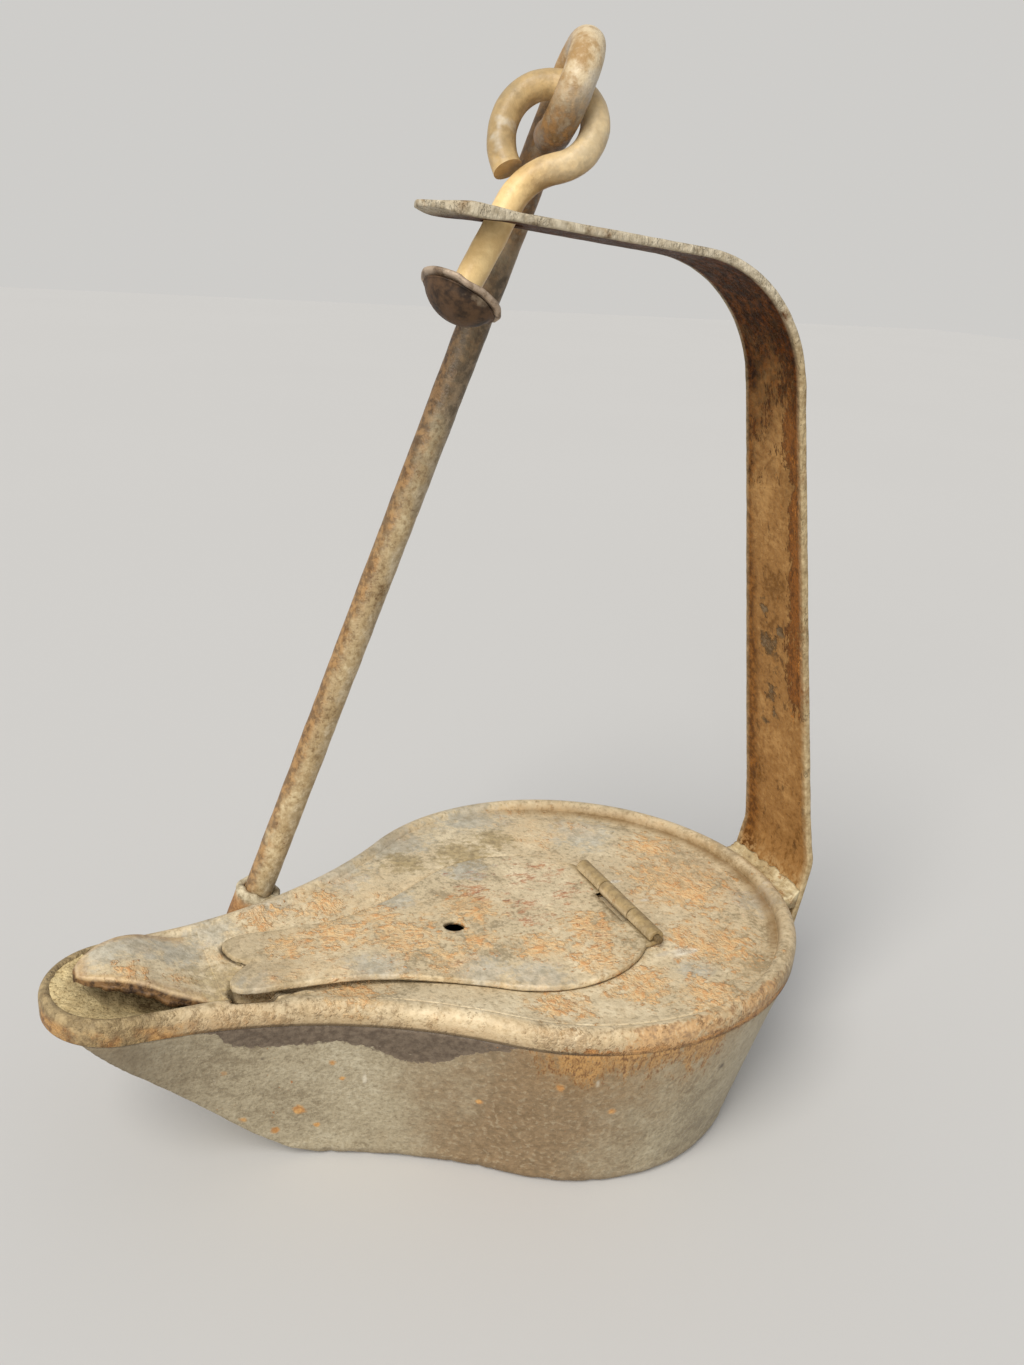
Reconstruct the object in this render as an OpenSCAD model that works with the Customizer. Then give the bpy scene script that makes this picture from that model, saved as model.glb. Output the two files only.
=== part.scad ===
// Betty lamp: a pressed iron grease-lamp pan with a hinged lid, a strap handle,
// a swivel eye hung loose in the handle and a hanger rod linked to that eye.
// Millimetres. +X runs from the nose to the back, +Z is up, the table is z = 0.

/* [Pan] */
// Length of the pan over its rim, nose to back
pan_len = 125; // [115:1:135]
// Radius of the rim outline at the nose
nose_r = 11.2; // [10.8:0.1:13]
// Radius of the rim outline round the back
body_r = 39; // [35:0.5:42]
// Radius of the hollow flanks that join nose and back
flank_r = 80; // [65:1:100]
// Height of the top of the rim above the table
pan_h = 33.3; // [29:0.1:38]
// Thickness of the pressed iron sheet
sheet = 0.9; // [0.7:0.1:1]
// How far the foot of the wall stands in from the rim
base_inset = 8; // [6:0.5:9]
// Rounding at the foot of the wall
foot_round = 3; // [1.5:0.5:4]
// Distance from the tip of the nose at which its underside would meet the table
keel_back = 35; // [31:0.5:37]
// Angle at which the underside of the nose rises
keel_rise = 44; // [40:1:48]
// Length over which the flat base curves up into the nose
keel_blend = 8; // [2:0.5:10]
// How far the foot of the wall is drawn in at the back
back_tuck = 2.5; // [0:0.25:3]

/* [Deck] */
// Width of the rounded bead round the rim
bead_w = 3; // [2.8:0.1:3.6]
// Height of the skirt that is crimped down over the wall
skirt_h = 2.8; // [2.4:0.1:4]
// How far the deck lies below the top of the bead
deck_drop = 1.6; // [1.2:0.1:2]
// Length of the open spout, from the tip of the nose
spout_len = 24.5; // [20:0.5:26]

/* [Hood] */
// Crest of the hood above the top of the rim
hood_rise = 3.6; // [2.5:0.1:5]
// Distance of the crest from the tip of the nose
hood_crest = 11.5; // [9:0.5:13]
// Distance of the hood's tip from the tip of the nose
hood_tip = 4.9; // [3.5:0.1:7]
// Radius at which the front of the hood turns over
hood_bend_r = 13; // [10:0.5:18]
// Half the width of the hood where it leaves the deck
hood_half_w = 9; // [7:0.25:9.25]

/* [Wick trough] */
// Outer radius of the half-round trough under the hood
trough_r = 7.5; // [5.5:0.25:8.5]
// Length of the trough
trough_len = 30; // [22:1:34]
// Angle at which the trough falls towards the pan
trough_fall = 14; // [8:1:20]
// Depth of the front of the trough below the top of the rim
trough_drop = 3.6; // [3.4:0.1:4.2]

/* [Lid] */
// Distance of the lid and the handle from the pan's middle line
fitting_y = -3; // [-4:0.5:4]
// Distance of the hinge from the back of the rim
hinge_back = 32; // [28:0.5:36]
// Gap between the tail of the lid and the open spout
tail_gap = 1.2; // [0.8:0.1:4]
// Widest part of the lid
lid_w = 41.4; // [34:0.2:44]
// Distance of the widest part from the hinge
lid_wide_at = 16.5; // [14:0.5:20]
// Radius of the tail of the lid
tail_r = 6.8; // [4.5:0.1:7]
// Radius of the lid's hollow sides
lid_flank_r = 60; // [45:1:80]
// Depth of the notch in the tail
tail_notch = 2.6; // [1.5:0.1:4]
// Width of the notch at the end of the tail
tail_notch_w = 5; // [3:0.5:6]
// How far the lid laps over the edge of the filler opening
lid_lap = 3; // [2:0.25:4]
// Diameter of the hole through the lid
lid_hole_d = 3.6; // [2:0.2:4]
// Distance of that hole from the hinge
lid_hole_at = 29.5; // [24:0.5:36]

/* [Hinge] */
// Diameter of the hinge wire
pin_d = 1.6; // [1.2:0.1:2]
// Outer diameter of the rolled knuckles
knuckle_d = 3.4; // [3:0.1:4]
// Length of the hinge over all three knuckles
hinge_len = 26; // [22:0.5:28]
// How far the hinge sits to one side of the lid's middle line
hinge_shift = -2.2; // [-3:0.2:3]
// Length of the middle knuckle, which belongs to the deck
mid_knuckle = 9.2; // [7:0.2:12]

/* [Handle strap] */
// Thickness of the strap iron
strap_t = 1.5; // [1.2:0.1:2.2]
// Width of the strap at its foot
strap_foot_w = 20; // [17:0.5:22]
// Width of the strap along its arm
strap_arm_w = 14.5; // [13:0.25:14.75]
// Height of the corner between upright and arm
strap_h = 137.5; // [125:0.5:150]
// Angle at which the upright leans over the pan
strap_lean = 10.3; // [8:0.1:12]
// Angle at which the arm rises towards its tip
arm_rise = 4.9; // [3:0.1:7]
// Length of the arm from the corner to its tip
arm_len = 57.3; // [54:0.1:62]
// Radius of the bend between upright and arm
strap_bend_r = 22; // [16:0.5:26]
// Height above the rim at which the upright turns in to the foot
foot_kink = 6; // [4:0.5:9]
// Angle at which the foot leans in to the rim
foot_lean = 11; // [8:0.5:14]
// Length of the foot below the rim
foot_drop = 9; // [6:0.5:12]
// Corner radius at the tip of the arm
tip_r = 5; // [3:0.5:6]
// Distance of the swivel hole from the tip of the arm
hole_back = 12.2; // [9:0.1:14]
// Distance of the swivel hole from the middle line of the strap
hole_side = 0.8; // [0.6:0.1:1.4]

/* [Swivel] */
// Diameter of the swivel's wire
swivel_d = 4.2; // [3.6:0.1:4.6]
// Radius of the eye, to the middle of its wire
eye_r = 6.1; // [5.9:0.1:7]
// Distance from the strap to the middle of the eye
eye_up = 14.3; // [14:0.1:18]
// Length of shank that hangs below the strap, down to the washer
shank_drop = 11.3; // [10.5:0.1:14]
// Tilt of the loose shank from upright
swivel_tilt = 33; // [28:1:35]
// Compass direction of that tilt, from +X towards +Y
swivel_heading = 18; // [17:1:20]
// Diameter of the washer
washer_d = 12.2; // [10:0.2:13]
// Thickness of the washer
washer_t = 1.1; // [0.8:0.1:1.5]
// Diameter of the domed head
head_d = 11; // [9:0.2:12]
// Height of the dome of the head
head_h = 3.2; // [2.4:0.1:4]

/* [Hanger] */
// Diameter of the hanger rod
rod_d = 5; // [4.4:0.1:5.1]
// Radius of the rod's eye, to the middle of its wire
loop_r = 6; // [5.8:0.1:6.4]
// Angle at which the rod's eye is turned from square to the swivel's eye
loop_skew = 22; // [0:1:24]
// How far the middle of the rod's eye hangs below the wire that it holds
link_slack = 0.5; // [0.2:0.1:0.6]
// Distance from the tip of the nose at which the rod comes down past the far rim
rod_back = 40; // [35:0.5:45]
// Gap between the sleeve and the far rim
rod_gap = 1.4; // [0.8:0.1:3]
// Height of the rod's point above the table
point_z = 2; // [1:0.5:4]
// Length of the rod's conical point
point_len = 7; // [5:0.5:10]
// Outer diameter of the sleeve that carries the hook
sleeve_d = 7.4; // [6.8:0.1:8]
// Height of the sleeve's lip above the rim
sleeve_lip = -1.4; // [-3:0.1:1]
// Diameter of the hook's wire
hook_d = 3.6; // [3:0.1:4]
// Reach of the hook from the middle of the rod
hook_reach = 13; // [11:0.5:15]
// Length of the hook's straight end
hook_up = 5; // [3:0.5:6]

/* [Clearances] */
// Gap between parts that move past each other
move_gap = 0.3; // [0.2:0.05:0.5]
// Gap between fixed parts that fit into each other
seat_gap = 0.1; // [0.05:0.01:0.15]
// Radial running clearance on the hinge wire
run_gap = 0.05; // [0.02:0.01:0.1]

/* [Hidden] */
$fn = 48;

// Rim outline: a nose circle and a body circle, joined by hollow flank arcs
nose_x = -pan_len / 2 + nose_r;
body_x = pan_len / 2 - body_r;
rim_pear = [nose_x, nose_r, body_x, body_r, flank_r];
flank_c = flank_centre(rim_pear);

// Heights of the deck and of the wall that carries it
deck_z = pan_h - deck_drop;
deck_under = deck_z - sheet;
bead_under = pan_h - bead_w / 2;
wall_top = bead_under - seat_gap;
land_below = 0.6;
land_z = pan_h - skirt_h - land_below;
wall_inset = sheet + seat_gap;
spout_x = -pan_len / 2 + spout_len;
keel_x = -pan_len / 2 + keel_back;
keel_top = deck_under - seat_gap - sheet / cos(keel_rise);

// Wick trough: its front end stays clear of the rising underside of the nose
trough_tip = -pan_len / 2 + wall_inset + sheet;
trough_low = pan_h - trough_drop - sheet;
trough_front = (tan(keel_rise) * keel_x + sheet / cos(keel_rise) + move_gap - trough_low
                - tan(trough_fall) * trough_tip) / (tan(keel_rise) - tan(trough_fall));

// Lid and hinge
hinge_x = pan_len / 2 - hinge_back;
lid_len = hinge_x - spout_x - tail_gap;
lid_z = deck_z + move_gap;
hinge_y = fitting_y + hinge_shift;
hinge_z = lid_z + knuckle_d / 2;
lid_pear = [hinge_x - lid_len + tail_r, tail_r, hinge_x - lid_wide_at, lid_w / 2, lid_flank_r];
opening_x = hinge_x - knuckle_d - lid_lap;

// Handle strap: middle line of its thickness, from foot to tip, in x and z
foot_dir = [sin(foot_lean), cos(foot_lean)];
up_dir = [-sin(strap_lean), cos(strap_lean)];
arm_dir = [-cos(arm_rise), sin(arm_rise)];
arm_up = [sin(arm_rise), 0, cos(arm_rise)];
skirt_point = [pan_len / 2 + seat_gap + strap_t / 2 / cos(foot_lean), pan_h - skirt_h];
strap_foot = skirt_point - foot_dir * (foot_drop - skirt_h) / cos(foot_lean);
strap_kink = skirt_point + foot_dir * (foot_kink + skirt_h) / cos(foot_lean);
strap_corner = strap_kink + up_dir * (strap_h - strap_kink[1]) / cos(strap_lean);
strap_tip = strap_corner + arm_dir * arm_len;
kink_r = 6;
strap_path = concat([strap_foot], bend(strap_foot, strap_kink, strap_corner, kink_r, 4),
                    bend(strap_kink, strap_corner, strap_tip, strap_bend_r, 16), [strap_tip]);

// Swivel: its axis leaves the middle of the hole in the arm
hole_c2 = strap_tip - arm_dir * hole_back;
hole_c = [hole_c2[0], fitting_y + hole_side, hole_c2[1]];
swivel_axis = [sin(swivel_tilt) * cos(swivel_heading), sin(swivel_tilt) * sin(swivel_heading),
               cos(swivel_tilt)];
hole_tilt = acos(swivel_axis * arm_up);
hole_d = swivel_d / cos(hole_tilt) + strap_t * tan(hole_tilt) + 2 * move_gap;
neck_turn = 54;
neck_r = eye_r * cos(neck_turn) / (1 - cos(neck_turn));
neck_start = -(eye_r + neck_r) * sin(neck_turn);
eye_tail_r = eye_r + 4;
eye_tail = 51;

// Hanger: the rod comes down past the far rim, in one plane with the swivel
rod_at = -pan_len / 2 + rod_back;
rim_point = [rod_at, flank_c.y - sqrt(flank_r * flank_r - pow(rod_at - flank_c.x, 2))];
rim_out = unit(flank_c - rim_point);
rest_2d = rim_point + rim_out * (sleeve_d / 2 + rod_gap);
rest_point = [rest_2d.x, rest_2d.y, pan_h];
link_c = hole_c + swivel_axis * (eye_up + eye_r);
loop_c = link_c - swivel_axis * link_slack;
rest_along = (rest_point - hole_c) * swivel_axis;
link_far = unit(rest_point - hole_c - swivel_axis * rest_along);
link_side = cross(link_far, swivel_axis);
rod_run = loop_c - rest_point;
run_dir = unit(rod_run);
far_dir = unit(link_far - run_dir * (link_far * run_dir));
skew_dir = far_dir * cos(loop_skew) + cross(run_dir, far_dir) * sin(loop_skew);
rod_slope = asin(loop_r / norm(rod_run));
rod_up = run_dir * cos(rod_slope) + skew_dir * sin(rod_slope);
loop_out = skew_dir * cos(rod_slope) - run_dir * sin(rod_slope);
rod_top = loop_c + loop_out * loop_r;
rod_len = (rod_top.z - point_z) / rod_up.z;
loop_turn = 272;
sleeve_top = (rod_top.z - pan_h - sleeve_lip) / rod_up.z;
sleeve_end = rod_len - point_len;
hook_z = -(sleeve_end - hook_d / 2 - 0.6);
hook_r = 8;

// Unit vector along v
function unit(v) = v / norm(v);

// Points of an arc round c, from angle a0 to a1 in n steps
function arc(c, r, a0, a1, n) =
    [for (k = [0:n]) let (a = a0 + (a1 - a0) * k / n) [c.x + r * cos(a), c.y + r * sin(a)]];

// Centre of the flank circle on the +Y side of a pear p = [nose x, nose r, body x, body r, flank r]
function flank_centre(p) =
    let (a = p[1] + p[4], b = p[3] + p[4], d = p[2] - p[0], u = (a * a - b * b + d * d) / (2 * d))
    [p[0] + u, sqrt(a * a - u * u)];

// Outline of the pear p, drawn in by inset: body, far flank, nose, near flank
function pear(p, inset) =
    let (c = flank_centre(p), m = [c.x, -c.y],
         an = atan2(c.y, c.x - p[0]), ab = atan2(c.y, c.x - p[2]))
    concat(arc([p[2], 0], p[3] - inset, -ab, ab, 40),
           trim(arc(c, p[4] + inset, ab - 180, an - 180, 14)),
           arc([p[0], 0], p[1] - inset, an, 360 - an, 20),
           trim(arc(m, p[4] + inset, 180 - an, 180 - ab, 14)));

// The list without its first and last point
function trim(list) = [for (k = [1:len(list) - 2]) list[k]];

// Points that round the corner b of the path a, b, c with radius r
function bend(a, b, c, r, n) =
    let (u = unit(a - b), v = unit(c - b), half = acos(u * v) / 2, m = unit(u + v) * r / sin(half) + b,
         p = b + u * r / tan(half) - m, q = b + v * r / tan(half) - m, turn = 180 - 2 * half)
    [for (k = [0:n]) m + (p * sin(turn * (1 - k / n)) + q * sin(turn * k / n)) / sin(turn)];

// Sideways unit vector of a path at its point k
function side(path, k) =
    let (d = unit(path[min(k + 1, len(path) - 1)] - path[max(k - 1, 0)])) [-d[1], d[0]];

// Outline of a strip of thickness t along a path
function strip(path, t) =
    concat([for (k = [0:len(path) - 1]) path[k] + side(path, k) * t / 2],
           [for (k = [len(path) - 1:-1:0]) path[k] - side(path, k) * t / 2]);

// Height of the underside of the nose at x, with a smooth start and a flat end below the deck
function keel(x) =
    let (run = keel_x - x)
    min(keel_top, tan(keel_rise) * (run < -keel_blend ? 0 : run > keel_blend ? run
        : pow(run + keel_blend, 2) / (4 * keel_blend)));

// How far a point at x and height z is drawn in towards the nose
function tuck(x, z) = back_tuck * max(0, 1 - z / land_z) * max(0, (x - body_x) / body_r);

// One ring of the pan's wall: the rim outline drawn in, and lifted over the keel
function ring(inset, z, lift) =
    [for (q = pear(rim_pear, inset)) [q.x - tuck(q.x, z), q.y, max(z, keel(q.x) + lift)]];

// Heights and insets of the wall from rim to base, for a skin that lies skin inside it
function wall_rings(skin) =
    let (a = foot_round * 0.6, lift = skin / cos(keel_rise))
    concat([ring(wall_inset + skin, wall_top, 0), ring(wall_inset + skin, land_z, lift)],
           [for (k = [0:4]) let (f = 22.5 * k)
               ring(base_inset - a * cos(f) + skin, foot_round * (1 - sin(f)) + skin * sin(f), lift)]);

// Put children into the frame at o whose axes are x, y and z
module in_frame(o, x, y, z) {
    multmatrix([[x.x, y.x, z.x, o.x], [x.y, y.y, z.y, o.y], [x.z, y.z, z.z, o.z], [0, 0, 0, 1]])
        children();
}

// Extrude an outline drawn in x and z along Y, over the given width
module across(width) {
    rotate([90, 0, 0])
        linear_extrude(height = width, center = true)
            children();
}

// A round bar bent round the Z axis of its own frame
module bent_bar(bend_r, bar_d, from, turn) {
    rotate([0, 0, from])
        rotate_extrude(angle = turn)
            translate([bend_r, 0])
                circle(d = bar_d);
}

// Pressed pan with sloping walls, a flat base and a rising nose
module pan() {
    outer = wall_rings(0);
    inner = wall_rings(sheet);
    n = len(outer[0]);
    rows = len(outer);
    body_steps = 40;
    points = concat([for (r = outer) each r], [for (r = inner) each r]);
    base = (rows - 1) * n;
    inside = rows * n;
    pairs = [for (k = [0:n / 2]) [(body_steps / 2 + k) % n, (body_steps / 2 - k + n) % n]];
    skin_out = [for (r = [0:rows - 2], k = [0:n - 1]) let (a = r * n + k, b = r * n + (k + 1) % n)
                each [[a, b, b + n], [a, b + n, a + n]]];
    skin_in = [for (f = skin_out) [f[0] + inside, f[2] + inside, f[1] + inside]];
    lip = [for (k = [0:n - 1]) let (b = (k + 1) % n) each [[k, k + inside, b + inside], [k, b + inside, b]]];
    floor_out = [for (k = [0:len(pairs) - 2])
                 each strip_faces(pairs[k] + [base, base], pairs[k + 1] + [base, base])];
    floor_in = [for (f = floor_out) [f[0] + inside, f[2] + inside, f[1] + inside]];
    color("#857f6f")
        polyhedron(points, [for (f = concat(skin_out, skin_in, lip, floor_out, floor_in)) [f[0], f[2], f[1]]],
                   convexity = 6);
}

// Two triangles between two pairs of points that mirror each other across the middle line
function strip_faces(p, q) = p[0] == p[1] ? [[p[0], q[0], q[1]]]
    : q[0] == q[1] ? [[p[0], q[0], p[1]]] : [[p[0], q[0], q[1]], [p[0], q[1], p[1]]];

// Section of the rim, as insets from the outline and heights: skirt, channel for the wall, round bead
function rim_section() =
    let (skirt_z = pan_h - skirt_h, channel = 2 * (sheet + seat_gap))
    concat([[0, skirt_z], [sheet, skirt_z], [sheet, bead_under], [channel, bead_under],
            [channel, deck_under], [bead_w, deck_under]],
           arc([bead_w / 2, bead_under], bead_w / 2, 0, 180, 8));

// Rim drawn round the whole outline
module rim() {
    section = rim_section();
    rings = [for (q = section) ring(q.x, q.y, -pan_h)];
    n = len(rings[0]);
    m = len(section);
    faces = [for (r = [0:m - 1], k = [0:n - 1])
             let (s = (r + 1) % m * n, a = r * n + k, b = r * n + (k + 1) % n)
             each [[a, b, s + (k + 1) % n], [a, s + (k + 1) % n, s + k]]];
    polyhedron([for (r = rings) each r], faces, convexity = 6);
}

// Pressed deck with its bead, its skirt, the filler opening and the middle hinge knuckle
module deck() {
    color("#9a8e72")
        difference() {
            union() {
                rim();
                translate([0, 0, deck_z - sheet])
                    linear_extrude(sheet)
                        deck_outline();
                translate([hinge_x, hinge_y, hinge_z])
                    deck_knuckle();
            }
            translate([hinge_x, hinge_y, hinge_z])
                hinge_bore(mid_knuckle + 1);
        }
}

// Plan of the deck inside the bead, open at the spout, at the filler and beside the lid's tail
module deck_outline() {
    notch_w = 5;
    difference() {
        polygon(pear(rim_pear, bead_w - 0.4));
        translate([spout_x - pan_len, -body_r])
            square([pan_len, 2 * body_r]);
        intersection() {
            translate([0, fitting_y])
                polygon(pear(lid_pear, lid_lap));
            translate([opening_x - pan_len, -pan_len / 2])
                square([pan_len, pan_len]);
        }
        intersection() {
            polygon(pear(rim_pear, bead_w));
            translate([lid_pear[0] - tail_r, fitting_y - body_r])
                square([notch_w, body_r - tail_r / 2]);
        }
    }
}

// Knuckle rolled up from the deck round the hinge wire, on the leg that carries it
module deck_knuckle() {
    across(mid_knuckle)
        circle(d = knuckle_d);
    translate([0, -mid_knuckle / 2, deck_z - sheet / 2 - hinge_z])
        cube([knuckle_d / 2, mid_knuckle, hinge_z - deck_z + sheet / 2]);
}

// Hole for the hinge wire
module hinge_bore(length) {
    across(length)
        circle(d = pin_d + 2 * run_gap);
}

// Hood over the wick: a leaf of sheet that leaves the deck, rises and turns over at its tip
module spout_hood() {
    crest = [-pan_len / 2 + hood_crest, pan_h + hood_rise];
    tip_x = -pan_len / 2 + hood_tip;
    c = crest - [0, hood_bend_r];
    start = [spout_x, deck_z];
    d = start - c;
    rise = atan2(d[1], d[0]) + acos(hood_bend_r / norm(d));
    tip_angle = acos((tip_x - 2 - c.x) / hood_bend_r);
    top = concat([start], arc(c, hood_bend_r, rise, tip_angle, 10));
    under = [for (k = [len(top) - 1:-1:0]) k == 0 ? start - [0, sheet]
             : c + (top[k] - c) * (hood_bend_r - sheet) / hood_bend_r];
    leaf_len = spout_x - tip_x;
    edge = [for (k = [0:16]) let (u = 1 - pow(1 - k / 16, 2))
            [spout_x - leaf_len * u, hood_half_w * pow(1 - pow(u, 1.6), 0.6)]];
    color("#948a74")
        intersection() {
            across(4 * hood_half_w)
                polygon(concat(top, under));
            linear_extrude(2 * pan_h)
                polygon(concat(edge, [for (k = [len(edge) - 2:-1:0]) [edge[k].x, -edge[k].y]]));
        }
}

// Half-round trough that carries the wick from the reservoir up to the spout
module wick_trough() {
    color("#b3a685")
        intersection() {
            translate([trough_tip, 0, trough_low + trough_r / cos(trough_fall)])
                rotate([0, 90 + trough_fall, 0])
                    difference() {
                        translate([0, 0, -trough_r])
                            cylinder(r = trough_r, h = trough_len + trough_r);
                        translate([0, 0, -2 * trough_r])
                            cylinder(r = trough_r - sheet, h = 2 * trough_len);
                    }
            linear_extrude(deck_under - seat_gap)
                intersection() {
                    polygon(pear(rim_pear, wall_inset + sheet + seat_gap));
                    translate([max(trough_front, trough_tip), -2 * trough_r])
                        square([pan_len, 4 * trough_r]);
                }
        }
}

// Fish-tailed lid of sheet, its end rolled into the two outer hinge knuckles
module lid() {
    outer_knuckle = (hinge_len - mid_knuckle) / 2 - move_gap;
    tail_x = hinge_x - lid_len;
    notch_half = tail_notch_w / 2;
    color("#a08a66")
        translate([0, fitting_y, 0])
            difference() {
                union() {
                    translate([0, 0, lid_z])
                        linear_extrude(sheet)
                            intersection() {
                                polygon(pear(lid_pear, 0));
                                translate([hinge_x - 2 * lid_len, -lid_w])
                                    square([2 * lid_len, 2 * lid_w]);
                            }
                    for (s = [-1, 1])
                        translate([hinge_x, hinge_shift + s * (hinge_len - outer_knuckle) / 2, hinge_z])
                            across(outer_knuckle)
                                circle(d = knuckle_d);
                }
                translate([hinge_x, hinge_shift, hinge_z])
                    hinge_bore(hinge_len + 1);
                translate([hinge_x - knuckle_d / 2 - 2 * move_gap, hinge_shift - mid_knuckle / 2 - move_gap, 0])
                    cube([knuckle_d * 2, mid_knuckle + 2 * move_gap, 2 * pan_h]);
                translate([hinge_x - lid_hole_at, 0, 0])
                    cylinder(d = lid_hole_d, h = 2 * pan_h);
                linear_extrude(2 * pan_h)
                    polygon([[tail_x - 1, -notch_half - 1], [tail_x + tail_notch, 0],
                             [tail_x - 1, notch_half + 1]]);
            }
}

// Hinge wire through all three knuckles
module lid_hinge_pin() {
    overhang = 0.6;
    color("#5d574c")
        translate([hinge_x, hinge_y, hinge_z])
            across(hinge_len + 2 * overhang)
                circle(d = pin_d);
}

// Bent strap handle that narrows from its foot to its arm, with the loose swivel hole
module handle_strap() {
    half_foot = strap_foot_w / 2;
    half_arm = strap_arm_w / 2;
    taper_top = strap_h - strap_bend_r;
    reach = strap_h * 2;
    color("#74644c")
        translate([0, fitting_y, 0])
            difference() {
                intersection() {
                    across(2 * strap_foot_w)
                        polygon(strip(strap_path, strap_t));
                    rotate([90, 0, 90])
                        linear_extrude(height = reach, center = true)
                            polygon([[-half_foot, 0], [half_foot, 0], [half_foot, pan_h], [half_arm, taper_top],
                                     [half_arm, reach], [-half_arm, reach], [-half_arm, taper_top],
                                     [-half_foot, pan_h]]);
                    linear_extrude(reach)
                        arm_plan();
                }
                translate([hole_c.x, hole_side, hole_c.z])
                    rotate([0, arm_rise, 0])
                        cylinder(d = hole_d, h = 4 * strap_t, center = true);
            }
}

// Plan of the strap: square but for the rounded corners at the tip of the arm
module arm_plan() {
    tip_x = strap_tip[0];
    half_arm = strap_arm_w / 2;
    for (s = [-1, 1])
        translate([tip_x + tip_r, s * (half_arm - tip_r)])
            circle(r = tip_r);
    translate([tip_x, tip_r - half_arm])
        square([2 * tip_r, strap_arm_w - 2 * tip_r]);
    translate([tip_x + tip_r, -strap_foot_w])
        square([pan_len + arm_len, 2 * strap_foot_w]);
}

// Solder that fills the wedge between the flat foot of the strap and the round rim
module handle_solder() {
    low = pan_h - skirt_h;
    inner = pan_len / 2 - body_r / 4;
    face = [skirt_point[0] - strap_t / 2 / cos(foot_lean), low];
    fillet_h = skirt_h + 1;
    color("#b0a68f")
        difference() {
            translate([0, fitting_y, 0])
                across(strap_foot_w)
                    polygon([[inner, low], face, face + [fillet_h * tan(foot_lean), fillet_h],
                             [inner, low + fillet_h]]);
            translate([body_x, 0, 0])
                cylinder(r = body_r, h = 2 * pan_h, $fn = 360);
        }
}

// Children drawn in the swivel's frame: x towards the right of the eye, y along the shank
module in_swivel() {
    in_frame(hole_c, link_side, swivel_axis, cross(link_side, swivel_axis))
        children();
}

// Swivel: a domed head, a shank and an eye turned from one length of wire
module swivel_pin() {
    head_top = -shank_drop - washer_t - seat_gap;
    shank_top = eye_up + neck_start;
    lap = 1;
    wire = concat([[0, shank_top - lap]],
                  arc([neck_r, shank_top], neck_r, 180, 180 - neck_turn, 10),
                  trim(arc([0, eye_up], eye_r, -neck_turn, 180, 32)),
                  arc([eye_tail_r - eye_r, eye_up], eye_tail_r, 180, 180 + eye_tail, 8));
    color("#c8b283")
        in_swivel() {
            translate([0, head_top, 0])
                rotate([-90, 0, 0])
                    cylinder(d = swivel_d, h = shank_top - head_top);
            tube(wire, swivel_d - 0.04);
            translate([0, head_top, 0])
                rotate([90, 0, 0])
                    dome();
        }
}

// Round wire along a flat path
module tube(path, wire_d) {
    n = 24;
    last = len(path) - 1;
    points = [for (k = [0:last]) let (s = side(path, k) * wire_d / 2)
              each [for (j = [0:n - 1]) let (f = 360 * j / n)
                    [path[k].x + s.x * cos(f), path[k].y + s.y * cos(f), wire_d / 2 * sin(f)]]];
    sides = [for (k = [0:last - 1], j = [0:n - 1])
             let (a = k * n + j, b = k * n + (j + 1) % n)
             each [[a, a + n, b + n], [a, b + n, b]]];
    ends = [[for (j = [0:n - 1]) j], [for (j = [n - 1:-1:0]) last * n + j]];
    polyhedron(points, concat(sides, ends), convexity = 4);
}

// Domed head, flat against the washer
module dome() {
    dome_r = (head_d * head_d / 4 + head_h * head_h) / (2 * head_h);
    rotate_extrude()
        intersection() {
            translate([0, head_h - dome_r])
                circle(r = dome_r, $fn = 96);
            square([head_d, head_h]);
        }
}

// Loose washer between the head and the strap
module swivel_washer() {
    color("#8f8069")
        in_swivel()
            translate([0, -shank_drop - washer_t, 0])
                rotate([-90, 0, 0])
                    difference() {
                        cylinder(d = washer_d, h = washer_t);
                        translate([0, 0, -1])
                            cylinder(d = swivel_d + 2 * run_gap, h = washer_t + 2);
                    }
}

// Children drawn in the hanger's frame: x out from its eye to the rod, z up along the rod
module in_hanger() {
    in_frame(loop_c, loop_out, cross(rod_up, loop_out), rod_up)
        children();
}

// Hanger rod with its eye curled round the swivel's eye and a point at its other end
module hanger_rod() {
    color("#8b7550")
        in_hanger() {
            rotate([90, 0, 0])
                bent_bar(loop_r, rod_d, 0, loop_turn);
            translate([loop_r, 0, -sleeve_end])
                cylinder(d = rod_d, h = sleeve_end);
            translate([loop_r, 0, -rod_len])
                cylinder(d1 = 0.8, d2 = rod_d, h = point_len);
        }
}

// Sleeve pressed on the lower end of the rod
module hook_sleeve() {
    lip_d = sleeve_d + 0.8;
    lip_h = 1.4;
    color("#7b5a36")
        in_hanger()
            translate([loop_r, 0, -sleeve_end])
                difference() {
                    union() {
                        cylinder(d = sleeve_d, h = sleeve_end - sleeve_top);
                        translate([0, 0, sleeve_end - sleeve_top - lip_h])
                            cylinder(d = lip_d, h = lip_h);
                    }
                    translate([0, 0, -1])
                        cylinder(d = rod_d + 2 * run_gap, h = sleeve_end - sleeve_top + 2);
                }
}

// Hook brazed to the sleeve, its end turned back towards the rod's eye
module hanger_hook() {
    tip_z = hook_z + hook_r + hook_up;
    color("#6e5535")
        in_hanger()
            translate([loop_r, 0, 0])
                difference() {
                    union() {
                        translate([0, 0, hook_z])
                            rotate([0, 90, 0])
                                cylinder(d = hook_d, h = hook_reach - hook_r);
                        translate([hook_reach - hook_r, 0, hook_z + hook_r])
                            rotate([90, 0, 0])
                                bent_bar(hook_r, hook_d, -90, 90);
                        translate([hook_reach, 0, hook_z + hook_r])
                            cylinder(d = hook_d, h = hook_up);
                        translate([hook_reach, 0, tip_z])
                            sphere(d = hook_d);
                    }
                    translate([0, 0, -rod_len])
                        cylinder(d = sleeve_d, h = rod_len);
                }
}

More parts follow.
